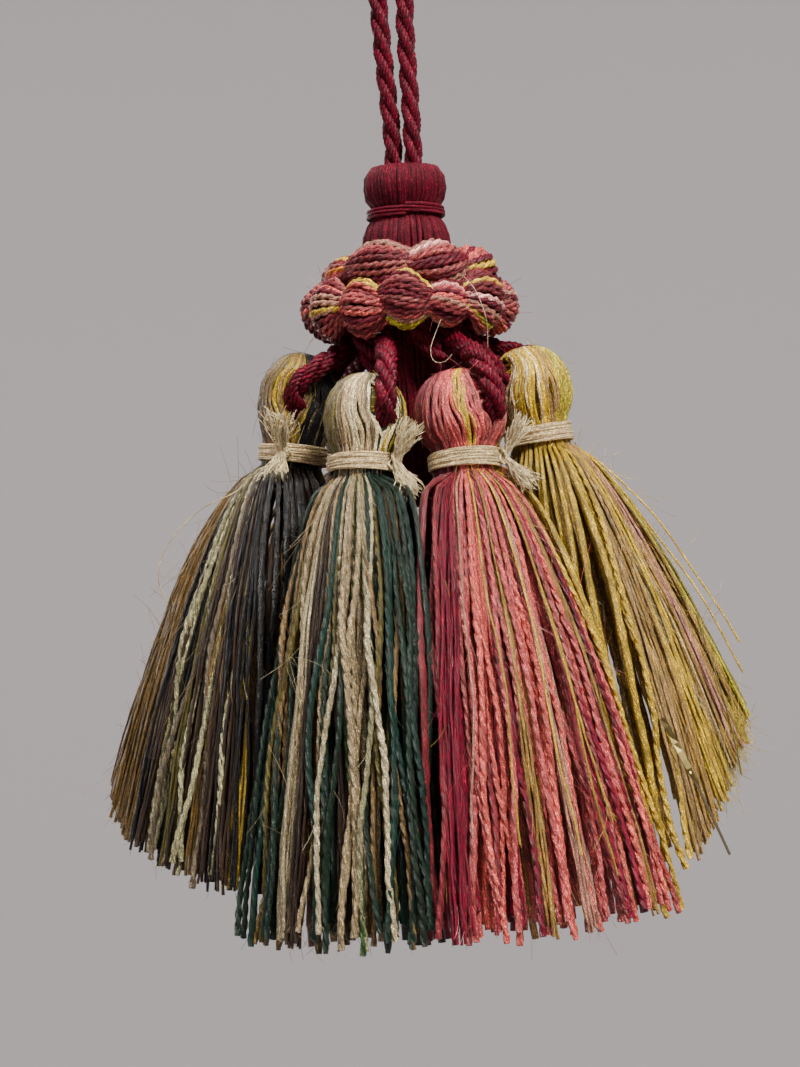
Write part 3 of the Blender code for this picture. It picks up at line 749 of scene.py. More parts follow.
def lobe_strands(row, lobe, shape, accents, chance):
    """The yarns of one lobe."""
    centre = row.first + 360 * lobe / row.count
    half = 180 / row.count
    middle = (row.start + row.end) / 2
    share = np.linspace(-LOBE_TUCK, LOBE_TUCK, 21)
    inside = np.clip(np.abs(share), 0, 1)
    tuck = np.clip((np.abs(share) - 1) / (LOBE_TUCK - 1), 0, 1)
    swell = (1 - row.pinch * np.sin(math.pi / 2 * inside) ** 2.6) * (1 - LOBE_THINNING * tuck)
    strands = []
    for number in range(row.strands):
        first = row.start + (row.end - row.start) * (number + 0.5) / row.strands
        section = middle + (first - middle) * (1 - LOBE_GATHER * inside ** 2)
        section = section + shape.lean * share + chance.uniform(-LOBE_STRAY, LOBE_STRAY)
        section = section + chance.uniform(-LOBE_SKEW, LOBE_SKEW) * share
        reach = (row.size - 0.42) * shape.size * swell * chance.uniform(0.95, 1.02)
        azimuth = np.radians(centre + half * LOBE_WIDTH * np.clip(share, -1.05, 1.05))
        radius = (row.radius + reach * np.cos(np.radians(section))) * MM
        z = (row.z + shape.lift + reach * np.sin(np.radians(section))) * MM
        name = accents.get(number) or chance.choice(RUFF_SHADES)
        girth = RUFF_YARN_RADIUS * chance.uniform(0.9, 1.08)
        tint = shade(name) * RUFF_DEPTH * chance.uniform(0.85, 1.15)
        points = turned_points(azimuth, radius, z)
        strands.append(Strand(points, tint, girth, chance.random() * 6))
    return strands


chance = random.Random(5)
ruff_strands = []
for lobe, shape in enumerate(LOWER_SHAPES):
    ruff_strands += lobe_strands(LOWER_LOBES, lobe, shape, LOWER_ACCENTS.get(lobe, {}), chance)
for lobe, shape in enumerate(UPPER_SHAPES):
    ruff_strands += lobe_strands(UPPER_LOBES, lobe, shape, UPPER_ACCENTS.get(lobe, {}), chance)
ruff = spin("ruff_lobes", ruff_strands, RUFF_FINISH, RUFF_SPIN)
place_piece(ruff, ["ruff"])


def ring_solid(name, section, sides, finish, colour):
    """A closed ring: a section of radii and heights swept round the main axis."""
    points = [around(360 * side / sides, radius, z)
              for side in range(sides) for radius, z in section]
    count = len(section)
    faces = []
    for side in range(sides):
        near, far = side * count, (side + 1) % sides * count
        for place in range(count):
            following = (place + 1) % count
            faces.append((near + place, near + following, far + following, far + place))
    return plain_solid(name, points, faces, finish, colour)


def section_circle(row, share):
    """A circle in a row's section, as radii and heights."""
    turn = np.linspace(0, 2 * math.pi, 16, endpoint=False)
    return [((row.radius + row.size * share * math.cos(angle)) * MM,
             (row.z + row.size * share * math.sin(angle)) * MM) for angle in turn]


for key, row in (("lower", LOWER_LOBES), ("upper", UPPER_LOBES)):
    ring = ring_solid(f"ruff_heart_{key}", section_circle(row, HEART_SHARE), HEART_SIDES,
                      RUFF_FINISH, shade("dark rose") * SHADOW)
    place_piece(ring)

# %% [markdown]
# ## The cord loops
#
# One loop of plied cord for each small tassel, from the ruff's recess over the front of the head,
# through it and up again behind.

# %% The cord loops
def loop_knots(tassel):
    """The route of a tassel's cord loop."""
    place, _, _, up = neck_frame(tassel)
    forward = around(tassel.facing, 1, 0)
    sideways = around(tassel.facing + 90, 1, 0)
    centre = place + sideways * tassel.aside * MM
    front = centre + forward * LOOP_HALF_WIDTH
    back = centre - forward * LOOP_HALF_WIDTH
    turn = forward * LOOP_HALF_WIDTH * LOOP_TURN_OUT
    rise = LOOP_SHOULDER_HEIGHT - LOOP_BIGHT_HEIGHT
    turn_height = LOOP_BIGHT_HEIGHT + rise * LOOP_TURN_RISE
    crest_aside, crest_out, crest_up = tassel.crest
    crest = place + (sideways * crest_aside + forward * crest_out + up * crest_up) * MM
    crest[2] = min(crest[2], LOOP_CREST_LIMIT_Z)
    front_top = around(tassel.front_leg, LEG_CIRCLE_RADIUS, LEG_TOP_Z)
    front_foot = around(tassel.front_leg, LEG_CIRCLE_RADIUS, LEG_FOOT_Z)
    back_top = around(tassel.back_leg, LEG_CIRCLE_RADIUS, LEG_TOP_Z)
    back_foot = around(tassel.back_leg, LEG_CIRCLE_RADIUS, LEG_FOOT_Z)
    return [
        front_top,
        front_foot,
        (front_foot + crest) / 2 - up * LOOP_SAG,
        crest,
        front + up * LOOP_SHOULDER_HEIGHT,
        centre + turn + up * turn_height,
        centre + up * LOOP_BIGHT_HEIGHT,
        centre - turn + up * turn_height,
        back + up * LOOP_SHOULDER_HEIGHT,
        back_foot,
        back_top,
    ]


loop_routes = {}
for tassel in TASSELS:
    route = smooth_route(loop_knots(tassel), 0.4 * MM)
    loop_routes[tassel.number] = route
    strand = Strand(route, shade("crimson"), SMALL_CORD_DIAMETER / 2, tassel.number)
    loop = spin(f"small_cord_{tassel.number}", [strand], CORD_FINISH, SMALL_CORD_SPIN)
    place_piece(loop, [f"cord_loop_{tassel.number}"])

# %% [markdown]
# ## The heads
#
# A head is the yarn itself, folded over its cord.  Its yarns run down like the lines of longitude
# of a globe.  Where the cord lies against the head they part on both sides of it, and below the
# place where it goes in they close to a V-shaped cleft.  A plain heart fills the inside.

# %% The heads
HEAD_YARNS = 110
BACK_HEAD_YARNS = 64
HEAD_YARN_RADIUS = 0.25 * MM
CLEFT_HALF_WIDTH = 0.95 * MM
CLEFT_FOOT = 1.9 * MM
PARTING_REACH = math.radians(80)
# How far the edges of the parting dip, and how wide the dip is.
CORD_DIP = 0.55 * MM
CORD_DIP_WIDTH = 0.22
HEAD_SWAY = math.radians(5)
HEAD_HEART_INSET = 0.75 * MM
HEAD_HEART_DROP = 0.2 * MM
HEAD_HEART_SIDES = 20
# The heart is painted this much darker than the head's first shade, as painted shadow in the gaps
# between the yarns.
HEAD_HEART_SHADOW = 0.75
# How deep the shades of each head lie, and how far a yarn may stray from its place among them.
HEAD_DEPTHS = {1: 0.7, 2: 0.85, 3: 1.2, 4: 1.0, 5: 0.9, 6: 0.9}
HEAD_SHADE_STRAY = 0.9


def head_line(tassel):
    """Heights and radii of a head's outline, from its crown to below its neck."""
    height, half_width = tassel.height * MM, tassel.width * MM / 2
    knots = [(-2.4 * MM, 0, 3.3 * MM), (0, 0, 3.25 * MM), (NECK_HALF_HEIGHT, 0, 3.5 * MM)]
    knots += [(height * level, 0, half_width * radius) for level, radius in HEAD_DOME]
    knots.append((height * 0.995, 0, 0.25 * MM))
    line = smooth_route(knots, 0.5 * MM)[::-1]
    return line[:, 0], line[:, 2]


def cord_crossing(tassel, leg):
    """Height, azimuth about the head and radius of one leg of a cord loop, by rising height."""
    place, right, out, up = neck_frame(tassel)
    local = (loop_routes[tassel.number] - place) @ np.column_stack([right, out, up])
    lowest = int(np.argmin(np.where(np.arange(len(local)) < 10, 1, local[:, 2])))
    part = local[:lowest + 1][::-1] if leg == "front" else local[lowest:]
    part = part[part[:, 2] < tassel.height * MM + 2 * MM]
    azimuth = np.unwrap(np.arctan2(part[:, 0], part[:, 1])[::-1])[::-1]
    return part[:, 2], azimuth, np.hypot(part[:, 0], part[:, 1])


def part_round_cord(tassel, heights, radii, azimuths):
    """Comb the yarns of a head to both sides of its cord.  Also says how far each dips."""
    dips = np.zeros_like(azimuths)
    for leg in ("front", "back"):
        levels, turns, spokes = cord_crossing(tassel, leg)
        order = np.argsort(levels)
        levels, turns, spokes = levels[order], turns[order], spokes[order]
        gap = np.interp(heights, levels, spokes) - radii
        centre = np.interp(heights, levels, turns)
        outside = np.nonzero(np.interp(levels, heights[::-1], radii[::-1]) < spokes)[0]
        entry = levels[outside[0]] if len(outside) else 5 * MM
        centre = np.where(heights < entry, np.interp(entry, levels, turns), centre)
        need = SMALL_CORD_DIAMETER / 2 + HEAD_YARN_RADIUS
        chord = np.sqrt(np.maximum(0, need ** 2 - gap ** 2)) * (heights > levels[0])
        rise = np.clip((heights - CLEFT_FOOT) / (entry - CLEFT_FOOT), 0, 1)
        cleft = CLEFT_HALF_WIDTH * rise * rise * (3 - 2 * rise) * (heights <= entry + 0.8 * MM)
        chord = np.maximum(chord, cleft)
        half = np.arcsin(np.clip(chord / np.maximum(radii, MM), 0, 0.9))
        away = (azimuths - centre[None] + math.pi) % (2 * math.pi) - math.pi
        size = np.abs(away)
        pushed = half[None] + size * (PARTING_REACH - half[None]) / PARTING_REACH
        moved = np.where(size < PARTING_REACH, pushed, size)
        azimuths = centre[None] + np.where(away < 0, -moved, moved)
        edge = np.exp(-((moved - half[None]) / CORD_DIP_WIDTH) ** 2) * (chord / need)[None]
        dips = dips + edge * CORD_DIP
    return azimuths, dips


def head_strands(tassel, shades, chance):
    """The yarns of one head, with its shades from the left round the front to the right."""
    heights, radii = head_line(tassel)
    count = HEAD_YARNS if tassel.number <= 4 else BACK_HEAD_YARNS
    thicker = HEAD_YARNS / count
    starts = (np.arange(count) + 0.5) / count * 2 * math.pi - math.pi
    shares = np.linspace(0, 1, len(heights))
    sways = np.array([wander(chance, shares, HEAD_SWAY) for _ in starts])
    azimuths, dips = part_round_cord(tassel, heights, radii, starts[:, None] + sways)
    strands = []
    for number in range(count):
        seen = (starts[number] + math.radians(tassel.azimuth) + math.pi) % (2 * math.pi) - math.pi
        stray = chance.uniform(-HEAD_SHADE_STRAY, HEAD_SHADE_STRAY)
        spot = (math.sin(seen) + 1) / 2 * len(shades) + stray
        name = shades[max(0, min(int(spot), len(shades) - 1))]
        girth = HEAD_YARN_RADIUS * thicker * chance.uniform(0.75, 1.15)
        depth = dips[number] + chance.uniform(0, 0.1) * MM
        radius = np.maximum(radii - girth * 0.75 - depth, 0.05 * MM)
        points = neck_points(tassel, azimuths[number], radius, heights)
        girths = girth * np.clip(radii / (2.6 * MM), 0.3, 1)
        tint = shade(name) * HEAD_DEPTHS[tassel.number] * chance.uniform(0.8, 1.18)
        strands.append(Strand(points, tint, girths, chance.random() * 6))
    return strands


def head_heart(tassel, colour):
    """The inside of a head, which closes the gaps between its yarns."""
    heights, radii = head_line(tassel)
    heights = heights[1:-2:2] - HEAD_HEART_DROP
    radii = np.maximum(radii[1:-2:2] - HEAD_HEART_INSET, 0.1 * MM)
    turn = 2 * math.pi * np.arange(HEAD_HEART_SIDES) / HEAD_HEART_SIDES
    points = neck_points(tassel, np.tile(turn, len(heights)),
                         np.repeat(radii, HEAD_HEART_SIDES), np.repeat(heights, HEAD_HEART_SIDES))
    faces = loft_faces(len(heights), HEAD_HEART_SIDES)
    return plain_solid(f"head_heart_{tassel.number}", points, faces, SKIRT_FINISH, colour)


HEAD_SHADES = {
    1: ("taupe", "tan", "olive", "yellow", "tan", "gold", "olive", "black", "black", "taupe"),
    2: ("olive", "taupe", "beige", "tan", "cream", "beige", "taupe", "cream", "dark green",
        "yellow"),
    3: ("dark rose", "crimson", "dusty rose", "rose", "rose", "coral", "gold", "rose", "coral",
        "dusty rose", "rose"),
    4: ("gold", "beige", "gold", "cream", "yellow", "tan", "gold", "chartreuse"),
    5: ("amber", "rust", "gold", "amber", "mustard"),
    6: ("taupe", "olive", "brown", "tan", "taupe"),
}
chance = random.Random(23)
heads = {}
for tassel in TASSELS:
    strands = head_strands(tassel, HEAD_SHADES[tassel.number], chance)
    heads[tassel.number] = strands
    head = spin(f"tassel_head_{tassel.number}", strands, SKIRT_FINISH, HEAD_SPIN)
    place_piece(head, [f"tassel_{tassel.number}"])
    heart = head_heart(tassel, shade(HEAD_SHADES[tassel.number][0]) * HEAD_HEART_SHADOW)
    place_piece(heart)

# %% [markdown]
# ## The skirts
#
# Each skirt fills a wedge of the round.  Its yarns leave the neck in a tight bundle, belly
# outwards and then hang.  The outer ones are laid out from left to right in the order a maker
# would see them; the inner ones fill the wedge behind.  Floss lies in bundles of fine filaments,
# and a few single bright threads lie on top.

# %% The skirts
YARN_RADIUS = 0.37 * MM
FLOSS_RADIUS = 0.16 * MM
INNER_RADIUS = 0.42 * MM
FLOSS_FILAMENTS = 5
THREAD_RADIUS = 0.12 * MM
YARN_SHARE = 1.35
# How much sooner the yarns at the sides of a skirt spread: on the side nearer to the middle of the
# front, and on the other side.  The outermost row has a share of its own, and this is where that
# row starts.
INNER_CLOSING = 0.56
OUTER_CLOSING = 0.3
OUTER_ROW_CLOSING = 0.8
OUTER_ROW_START = 0.9
# How deep the shades of each tassel lie.
DEPTHS = {1: 0.54, 2: 0.45, 3: 1.05, 4: 1.03, 5: 0.8, 6: 0.6}
# How much further the outer corners of two skirts are trimmed, as a share of their length, and how
# wide the slope towards them is.
CORNER_TRIMS = {1: (0.07, 1.1), 4: (0.12, 0.5)}
CORNER_TRIM_START = -0.92
CORNER_TRIM_DEPTH = -0.5
# The lengths of the outer yarns as shares of the skirt's, and how much they sway.
STRETCHES = {2: (0.985, 1.03), 3: (0.985, 1.03), 4: (0.975, 1.005)}
COMMON_STRETCH = (0.96, 1.01)
SWAYS = {1: 0.9 * MM, 2: 0.75 * MM, 4: 0.8 * MM}
COMMON_SWAY = 0.6 * MM
THREAD_STRETCH = (0.75, 1.0)
THREAD_SWAY = 0.45 * MM
FLOSS_SWAY = 0.38 * MM
FLOSS_WIDTH = 0.42
# Each ring of inner yarns: its size, and how many lie in front, at each side and at the back.
INNER_RINGS = ((1.0, 0, 9, 7), (0.82, 26, 6, 5), (0.5, 10, 4, 3))
INNER_STRETCH = (0.94, 1.0)
INNER_SWAY = 0.4 * MM
# The inner yarns are painted this much darker than the outer ones, as painted shadow inside the
# skirt.
INNER_SHADOW = 0.8
# Shades that show on single yarns only.
BRIGHT_SHADES = ("yellow", "cream", "pale sage", "pale pink")
# How thin the neck squeezes a yarn, how far down it does so, and how uneven a yarn is.
NECK_PACKING = 0.34
NECK_REACH = 0.3
SLUB = 0.1
ROOT_INSET = 0.35 * MM
CORNER = 0.25
KINK = 0.07 * MM
SKIRT_SHARES = np.linspace(0, 1, 34)

# The outer yarns of each skirt from its left edge to its right: how many, their shade and their
# kind.  The first two fifths of tassel 1 and the last half of tassel 4 lie round the back.
SKIRT_ORDER = {
    1: ("4 tan floss, 2 taupe ply, 4 olive floss, 4 tan floss, 2 dark tan floss, 9 ochre floss, "
        "tan floss, black floss, pale sage ply, brown floss, pale sage ply, black floss, "
        "taupe ply, olive floss, pale sage ply, brown floss, pale sage ply, ochre floss, "
        "taupe ply, brown floss, pale sage ply, black floss, brown floss, yellow floss, "
        "black floss"),
    2: ("dark green ply, teal ply, tan ply, teal ply, olive ply, dark green ply, tan ply, "
        "beige ply, cream floss, taupe pink floss, taupe floss, brown floss, tan ply, beige ply, "
        "teal ply, olive ply, cream ply, dark green ply, brown floss, 2 beige ply, green ply, "
        "beige ply, pale sage ply, tan ply, dark green ply, cream ply, olive ply, 2 teal ply, "
        "tan ply, 2 dark green ply, teal ply"),
    3: ("dark rose ply, 2 bright crimson floss, dusty rose ply, taupe pink thread, rose ply, "
        "dark rose ply, 2 coral ply, gold thread, rose ply, crimson ply, dusty rose ply, "
        "ochre floss, 2 rose ply, coral ply, yellow thread, dark rose ply, taupe pink floss, "
        "coral ply, rose ply, gold thread, dark rose ply, dusty rose ply, 2 bright crimson ply, "
        "coral ply, rose ply, ochre floss, crimson ply, dusty rose ply, coral ply, rose ply, "
        "2 gold ply"),
    4: ("gold ply, 2 tan floss, yellow floss, 2 ochre floss, beige ply, 2 gold floss, taupe ply, "
        "beige thread, 2 ochre floss, taupe pink floss, gold floss, chartreuse floss, "
        "ochre floss, gold ply, olive floss, yellow thread, 2 ochre floss, 2 chartreuse floss, "
        "gold floss, 2 olive floss, 2 chartreuse floss, 2 mustard floss, 2 gold ply, "
        "3 tan floss, 3 gold floss, 2 beige ply, 2 olive ply, 2 tan ply"),
    5: ("4 amber ply, 3 rust ply, 3 gold floss, 4 amber ply, 4 mustard floss, 3 rust ply, "
        "4 gold ply, 3 amber floss, 3 brown ply"),
    6: ("4 taupe ply, 3 olive floss, 3 brown ply, 4 tan floss, 4 taupe ply, 2 black floss, "
        "4 olive ply, 4 taupe ply, 3 tan ply"),
}


def read_chart(listing):
    """The shade and kind of each yarn, from a listing such as "2 tan floss, teal ply"."""
    chart = []
    for entry in listing.split(","):
        words = entry.split()
        count = int(words.pop(0)) if words[0].isdigit() else 1
        chart += [(" ".join(words[:-1]), words[-1])] * count
    return chart


def square_to_disc(across, outward):
    """Map the square from -1 to 1 onto the unit disc, keeping its rings and spokes."""
    if abs(across) > abs(outward):
        angle = math.pi / 4 * outward / across
        return across * math.cos(angle), across * math.sin(angle)
    if outward == 0:
        return 0.0, 0.0
    angle = math.pi / 4 * across / outward
    return outward * math.sin(angle), outward * math.cos(angle)


def skirt_line(tassel, across, outward, stretch):
    """The wire of a skirt yarn from its place in the neck."""
    shares = SKIRT_SHARES
    place, right, out, up = neck_frame(tassel)
    disc_across, disc_outward = square_to_disc(across, outward)
    root = place - up * NECK_HALF_HEIGHT
    root = root + (right * disc_across + out * disc_outward) * (NECK_RADIUS - ROOT_INSET)
    turn = across + (disc_across - across) * CORNER
    outer = tassel.outer[0] + (tassel.outer[1] - tassel.outer[0]) * (turn + 1) / 2
    half_depth = (outer - tassel.inner) / 2
    depth = outward + (disc_outward - outward) * CORNER
    radius = (outer + tassel.inner) / 2 + half_depth * depth
    half_wedge = (tassel.stop - tassel.start) / 2 - math.degrees(WEDGE_MARGIN / radius)
    azimuth = (tassel.start + tassel.stop) / 2 + half_wedge * turn
    end = around(azimuth, radius * MM, 0)
    run = end[:2] - root[:2]
    side_share = (1 + tassel.trim_side * across) / (1 + abs(tassel.trim_side))
    share, slope = CORNER_TRIMS.get(tassel.number, (0, 1))
    corner = share * min(1, max(0, (tassel.trim_side * across - CORNER_TRIM_START) / slope))
    lack = tassel.trim * side_share * max(outward, 0) ** 2 + corner * (outward > CORNER_TRIM_DEPTH)
    length = tassel.length * MM * stretch * (1 - lack)
    drop = math.sqrt(length ** 2 - run @ run)
    sideways = right[:2] * (run @ right[:2])
    inner_side = across if tassel.azimuth < 0 else -across
    closing = INNER_CLOSING if inner_side > 0 else OUTER_CLOSING
    closing = closing * (abs(across) if outward < OUTER_ROW_START
                         else OUTER_ROW_CLOSING * max(0, inner_side) ** 2)
    flat = (root[:2] + np.outer(shares ** tassel.droop, run - sideways)
            + np.outer(shares ** (tassel.droop * (1 - closing)), sideways))
    line = np.column_stack([flat, root[2] - drop * shares])
    neck = root + up * np.array([[3.0], [1.5]]) * MM
    return np.vstack([neck, line])


def swayed(line, chance, size):
    """A line with a gentle sway sideways, which grows towards its end."""
    shares = np.linspace(0, 1, len(line))
    outwards = line[-1, :2] - line[0, :2]
    outwards = outwards / np.linalg.norm(outwards)
    sideways = np.array((-outwards[1], outwards[0]))
    line = line.copy()
    line[:, :2] += np.outer(wander(chance, shares, size), sideways)
    line[:, :2] += np.outer(wander(chance, shares, size * 0.6), outwards)
    kink = np.sin(2 * math.pi * (shares * chance.uniform(5, 9) + chance.random()))
    line[:, :2] += np.outer(kink * KINK * shares, sideways)
    return line


def taper(line, girth):
    """Girths along a yarn, which is squeezed at the neck."""
    shares = np.linspace(0, 1, len(line))
    slub = 1 + SLUB * np.sin(2 * math.pi * (shares * 3.7 + girth / (0.1 * MM)))
    freed = (shares / NECK_REACH) ** 0.8
    return girth * slub * np.clip(NECK_PACKING + (1 - NECK_PACKING) * freed, 0, 1)


def ring_places(scale, front, side, back):
    """Places round a square ring of yarns, without its front row."""
    places = [(scale * way, scale * outward)
              for way in (-1, 1) for outward in np.linspace(0.8, -0.8, side)]
    places += [(scale * across, -scale) for across in np.linspace(-0.85, 0.85, back)]
    places += [(scale * across, scale) for across in np.linspace(-1, 1, front)]
    return places


def skirt_strands(tassel, chance):
    """The plied yarns, the floss and the inner yarns of one skirt."""
    chart = read_chart(SKIRT_ORDER[tassel.number])
    total = round(len(chart) * YARN_SHARE)
    order = [chart[int(place * len(chart) / total)] for place in range(total)]
    stretch = STRETCHES.get(tassel.number, COMMON_STRETCH)
    plied, floss = [], []
    for number, (name, kind) in enumerate(order):
        across = 2 * (number + 0.5) / len(order) - 1
        outward = 1 - 0.05 * (number % 2) - chance.uniform(0, 0.03)
        if kind == "ply":
            line = skirt_line(tassel, across, outward, chance.uniform(*stretch))
            line = swayed(line, chance, SWAYS.get(tassel.number, COMMON_SWAY))
            girth = taper(line, YARN_RADIUS * chance.uniform(0.88, 1.08))
            tint = shade(name) * DEPTHS[tassel.number] * chance.uniform(0.83, 1.15)
            plied.append(Strand(line, tint, girth, chance.random() * 6))
            continue
        drift = random.Random(chance.random())
        if kind == "thread":
            line = skirt_line(tassel, across, 0.99, drift.uniform(*THREAD_STRETCH))
            line = swayed(line, chance, THREAD_SWAY)
            floss.append(Strand(line, shade(name), THREAD_RADIUS, chance.random() * 6))
            continue
        for filament in range(FLOSS_FILAMENTS):
            aside = across + (filament - 2) * FLOSS_WIDTH / len(order)
            aside = max(-1, min(1, aside + chance.uniform(-0.004, 0.004)))
            line = skirt_line(tassel, aside, outward + chance.uniform(-0.03, 0.02),
                              drift.uniform(stretch[0], stretch[1] - 0.01))
            line = swayed(line, chance, FLOSS_SWAY)
            girth = taper(line, FLOSS_RADIUS * chance.uniform(0.85, 1.15))
            tint = shade(name) * DEPTHS[tassel.number] * chance.uniform(0.75, 1.18)
            floss.append(Strand(line, tint, girth, chance.random() * 6))
    names = [name for name, kind in order if kind != "thread" and name not in BRIGHT_SHADES]
    places = [place for ring in INNER_RINGS for place in ring_places(*ring)]
    for across, outward in places:
        spot = int((across + 1) / 2 * (len(names) - 1))
        spot = max(0, min(len(names) - 1, spot + chance.choice((-1, 0, 1))))
        line = skirt_line(tassel, across, outward, chance.uniform(*INNER_STRETCH))
        line = swayed(line, chance, INNER_SWAY)
        girth = taper(line, INNER_RADIUS * chance.uniform(0.85, 1.1))
        tint = shade(names[spot]) * DEPTHS[tassel.number] * INNER_SHADOW
        floss.append(Strand(line, tint, girth, chance.random() * 6))
    return plied, floss


chance = random.Random(41)
skirts = {}
for tassel in TASSELS:
    plied, floss = skirt_strands(tassel, chance)
    skirts[tassel.number] = plied + floss
    style = YARN_SPIN if tassel.number <= 4 else BACK_YARN_SPIN
    place_piece(spin(f"skirt_plied_{tassel.number}", plied, SKIRT_FINISH, style))
    place_piece(spin(f"skirt_floss_{tassel.number}", floss, SKIRT_FINISH, FLOSS_SPIN))

# %% [markdown]
# ## The ties
#
# A thin beige thread is wound many times round each neck and is knotted.  Its two cut ends fray
# into soft brushes.

# %% The ties
TIE_WRAPS = 17
TIE_THREAD_RADIUS = 0.14 * MM
TIE_WRAP_RADIUS = 3.72 * MM
TIE_HALF_HEIGHT = 0.88 * MM
TIE_BRIGHTNESS = 1.2
KNOT_RADIUS = TIE_WRAP_RADIUS + 0.5 * MM
BRUSH_FIBRES = 130
BACK_BRUSH_FIBRES = 50
BRUSH_FIBRE_RADIUS = 0.05 * MM
# How far the tips of a brush spread to the side and in depth, and its roots, in millimetres.
BRUSH_SPREAD = 0.95
BRUSH_DEPTH = 0.6
BRUSH_ROOT = 0.16
BRUSH_WANDER = 0.55 * MM
BRUSH_DEPTH_WANDER = 0.3 * MM
BRUSH_BRIGHTNESS = 1.25
# The tips of the two ends: how far out from the neck's middle, and how far up.
UPPER_END = (6.8 * MM, 4.3 * MM)
LOWER_END = (7.0 * MM, -3.8 * MM)


def knot_axes(tassel):
    """The angle of a tie's knot about the neck, and the ways out of it and to its side."""
    _, right, out, _ = neck_frame(tassel)
    knot = math.radians(tassel.knot - tassel.azimuth)
    spoke = right * math.sin(knot) + out * math.cos(knot)
    side = right * math.cos(knot) - out * math.sin(knot)
    return knot, spoke, side


def tie_strands(tassel):
    """The wraps of a tie and its knot."""
    place, _, _, up = neck_frame(tassel)
    knot, spoke, side = knot_axes(tassel)
    turns = np.linspace(0, 2 * math.pi * TIE_WRAPS, 30 * TIE_WRAPS)
    shares = np.linspace(0, 1, len(turns))
    height = TIE_HALF_HEIGHT * (1 - 2 * shares) + 0.1 * MM * np.sin(turns * 0.83 + tassel.number)
    radius = TIE_WRAP_RADIUS + 0.06 * MM * np.sin(turns * 1.31)
    points = neck_points(tassel, turns + knot, radius, height)
    wraps = Strand(points, shade("beige") * TIE_BRIGHTNESS, TIE_THREAD_RADIUS, 0.0)
    turn = np.linspace(0, 2 * math.pi, 40)
    bend = 0.5 * MM * (2 + np.cos(3 * turn))
    centre = place + spoke * KNOT_RADIUS
    trefoil = (centre + np.outer(bend * np.cos(2 * turn) * 0.6, side)
               + np.outer(bend * np.sin(2 * turn) * 0.6, up)
               + np.outer(0.4 * MM * np.sin(3 * turn), spoke))
    return [wraps, Strand(trefoil, shade("cream"), TIE_THREAD_RADIUS * 1.1, 0.0)]


def brush_strands(tassel, end, chance):
    """The frayed fibres of one end of a tie."""
    place, _, _, up = neck_frame(tassel)
    _, spoke, side = knot_axes(tassel)
    start = place + spoke * KNOT_RADIUS
    tip = place + spoke * end[0] + up * end[1]
    run = tip - start
    across = np.cross(run, side)
    across = across / np.linalg.norm(across)
    strands = []
    for _ in range(BRUSH_FIBRES if tassel.number <= 3 else BACK_BRUSH_FIBRES):
        spread = chance.gauss(0, BRUSH_SPREAD) * MM
        depth = chance.gauss(0, BRUSH_DEPTH) * MM
        root_side = chance.gauss(0, BRUSH_ROOT) * MM
        root_depth = chance.gauss(0, BRUSH_ROOT) * MM
        share = np.linspace(0, chance.uniform(0.5, 1.02), 9)
        splay = np.clip((share - 0.15) / 0.85, 0, 1) ** 0.95
        line = start + np.outer(share, run)
        line = line + np.outer(root_side + (spread - root_side) * splay, side)
        line = line + np.outer(root_depth + (depth - root_depth) * splay, across)
        line = line + np.outer(wander(chance, share, BRUSH_WANDER), side)
        line = line + np.outer(wander(chance, share, BRUSH_DEPTH_WANDER), across)
        tint = shade(chance.choice(("cream", "cream", "cream", "beige"))) * BRUSH_BRIGHTNESS
        strands.append(Strand(line, np.minimum(tint, 0.9), BRUSH_FIBRE_RADIUS,
                              chance.random() * 6))
    return strands


chance = random.Random(77)
for tassel in TASSELS:
    wraps = spin(f"neck_tie_{tassel.number}", tie_strands(tassel), TIE_FINISH, TIE_SPIN)
    place_piece(wraps, [f"tie_{tassel.number}"])
    fibres = brush_strands(tassel, UPPER_END, chance) + brush_strands(tassel, LOWER_END, chance)
    brush = spin(f"tie_ends_{tassel.number}", fibres, TIE_FINISH, BRUSH_SPIN)
    place_piece(brush)

# %% [markdown]
# ## Stray fibres
#
# Yarn sheds.  Short fine fibres stand off every skirt, head and lobe.

# %% Stray fibres
STRAY_RADIUS = 0.021 * MM
STRAY_BRIGHTNESS = 1.7
# The share of strays with a shade of their own.
STRAY_TINTED = 0.3


def stray_fibres(strands, count, low, high, tints, chance):
    """Short curved fibres that leave the surface of some strands."""
    fibres = []
    for _ in range(count):
        strand = chance.choice(strands)
        last = len(strand.points) - 2
        spot = chance.randrange(3, last) if chance.random() < 0.7 else last
        start = strand.points[spot]
        tangent = strand.points[spot + 1] - strand.points[spot - 1]
        tangent = tangent / (np.linalg.norm(tangent) + 1e-9)
        loose = np.array([chance.gauss(0, 1) for _ in range(3)])
        away = np.array((start[0], start[1], 0))
        away = away / (np.linalg.norm(away) + 1e-9)
        loose = loose - tangent * (loose @ tangent) + away * 0.8
        loose = loose / np.linalg.norm(loose)
        length = chance.uniform(low, high) * (0.4 if spot == last else 1)
        bend = np.array([chance.gauss(0, 1) for _ in range(3)]) * length * 0.3
        share = np.linspace(0, 1, 6)[:, None]
        way = tangent * (1 if spot == last else chance.choice((-1, 1))) * 0.9
        way = way + loose * chance.uniform(0.15, 0.7)
        line = start + way * length * share + bend * share ** 2
        tint = strand.colour * STRAY_BRIGHTNESS
        if chance.random() < STRAY_TINTED:
            tint = shade(chance.choice(tints))
        fibres.append(Strand(line, np.minimum(tint, 1), STRAY_RADIUS, 0.0))
    return fibres


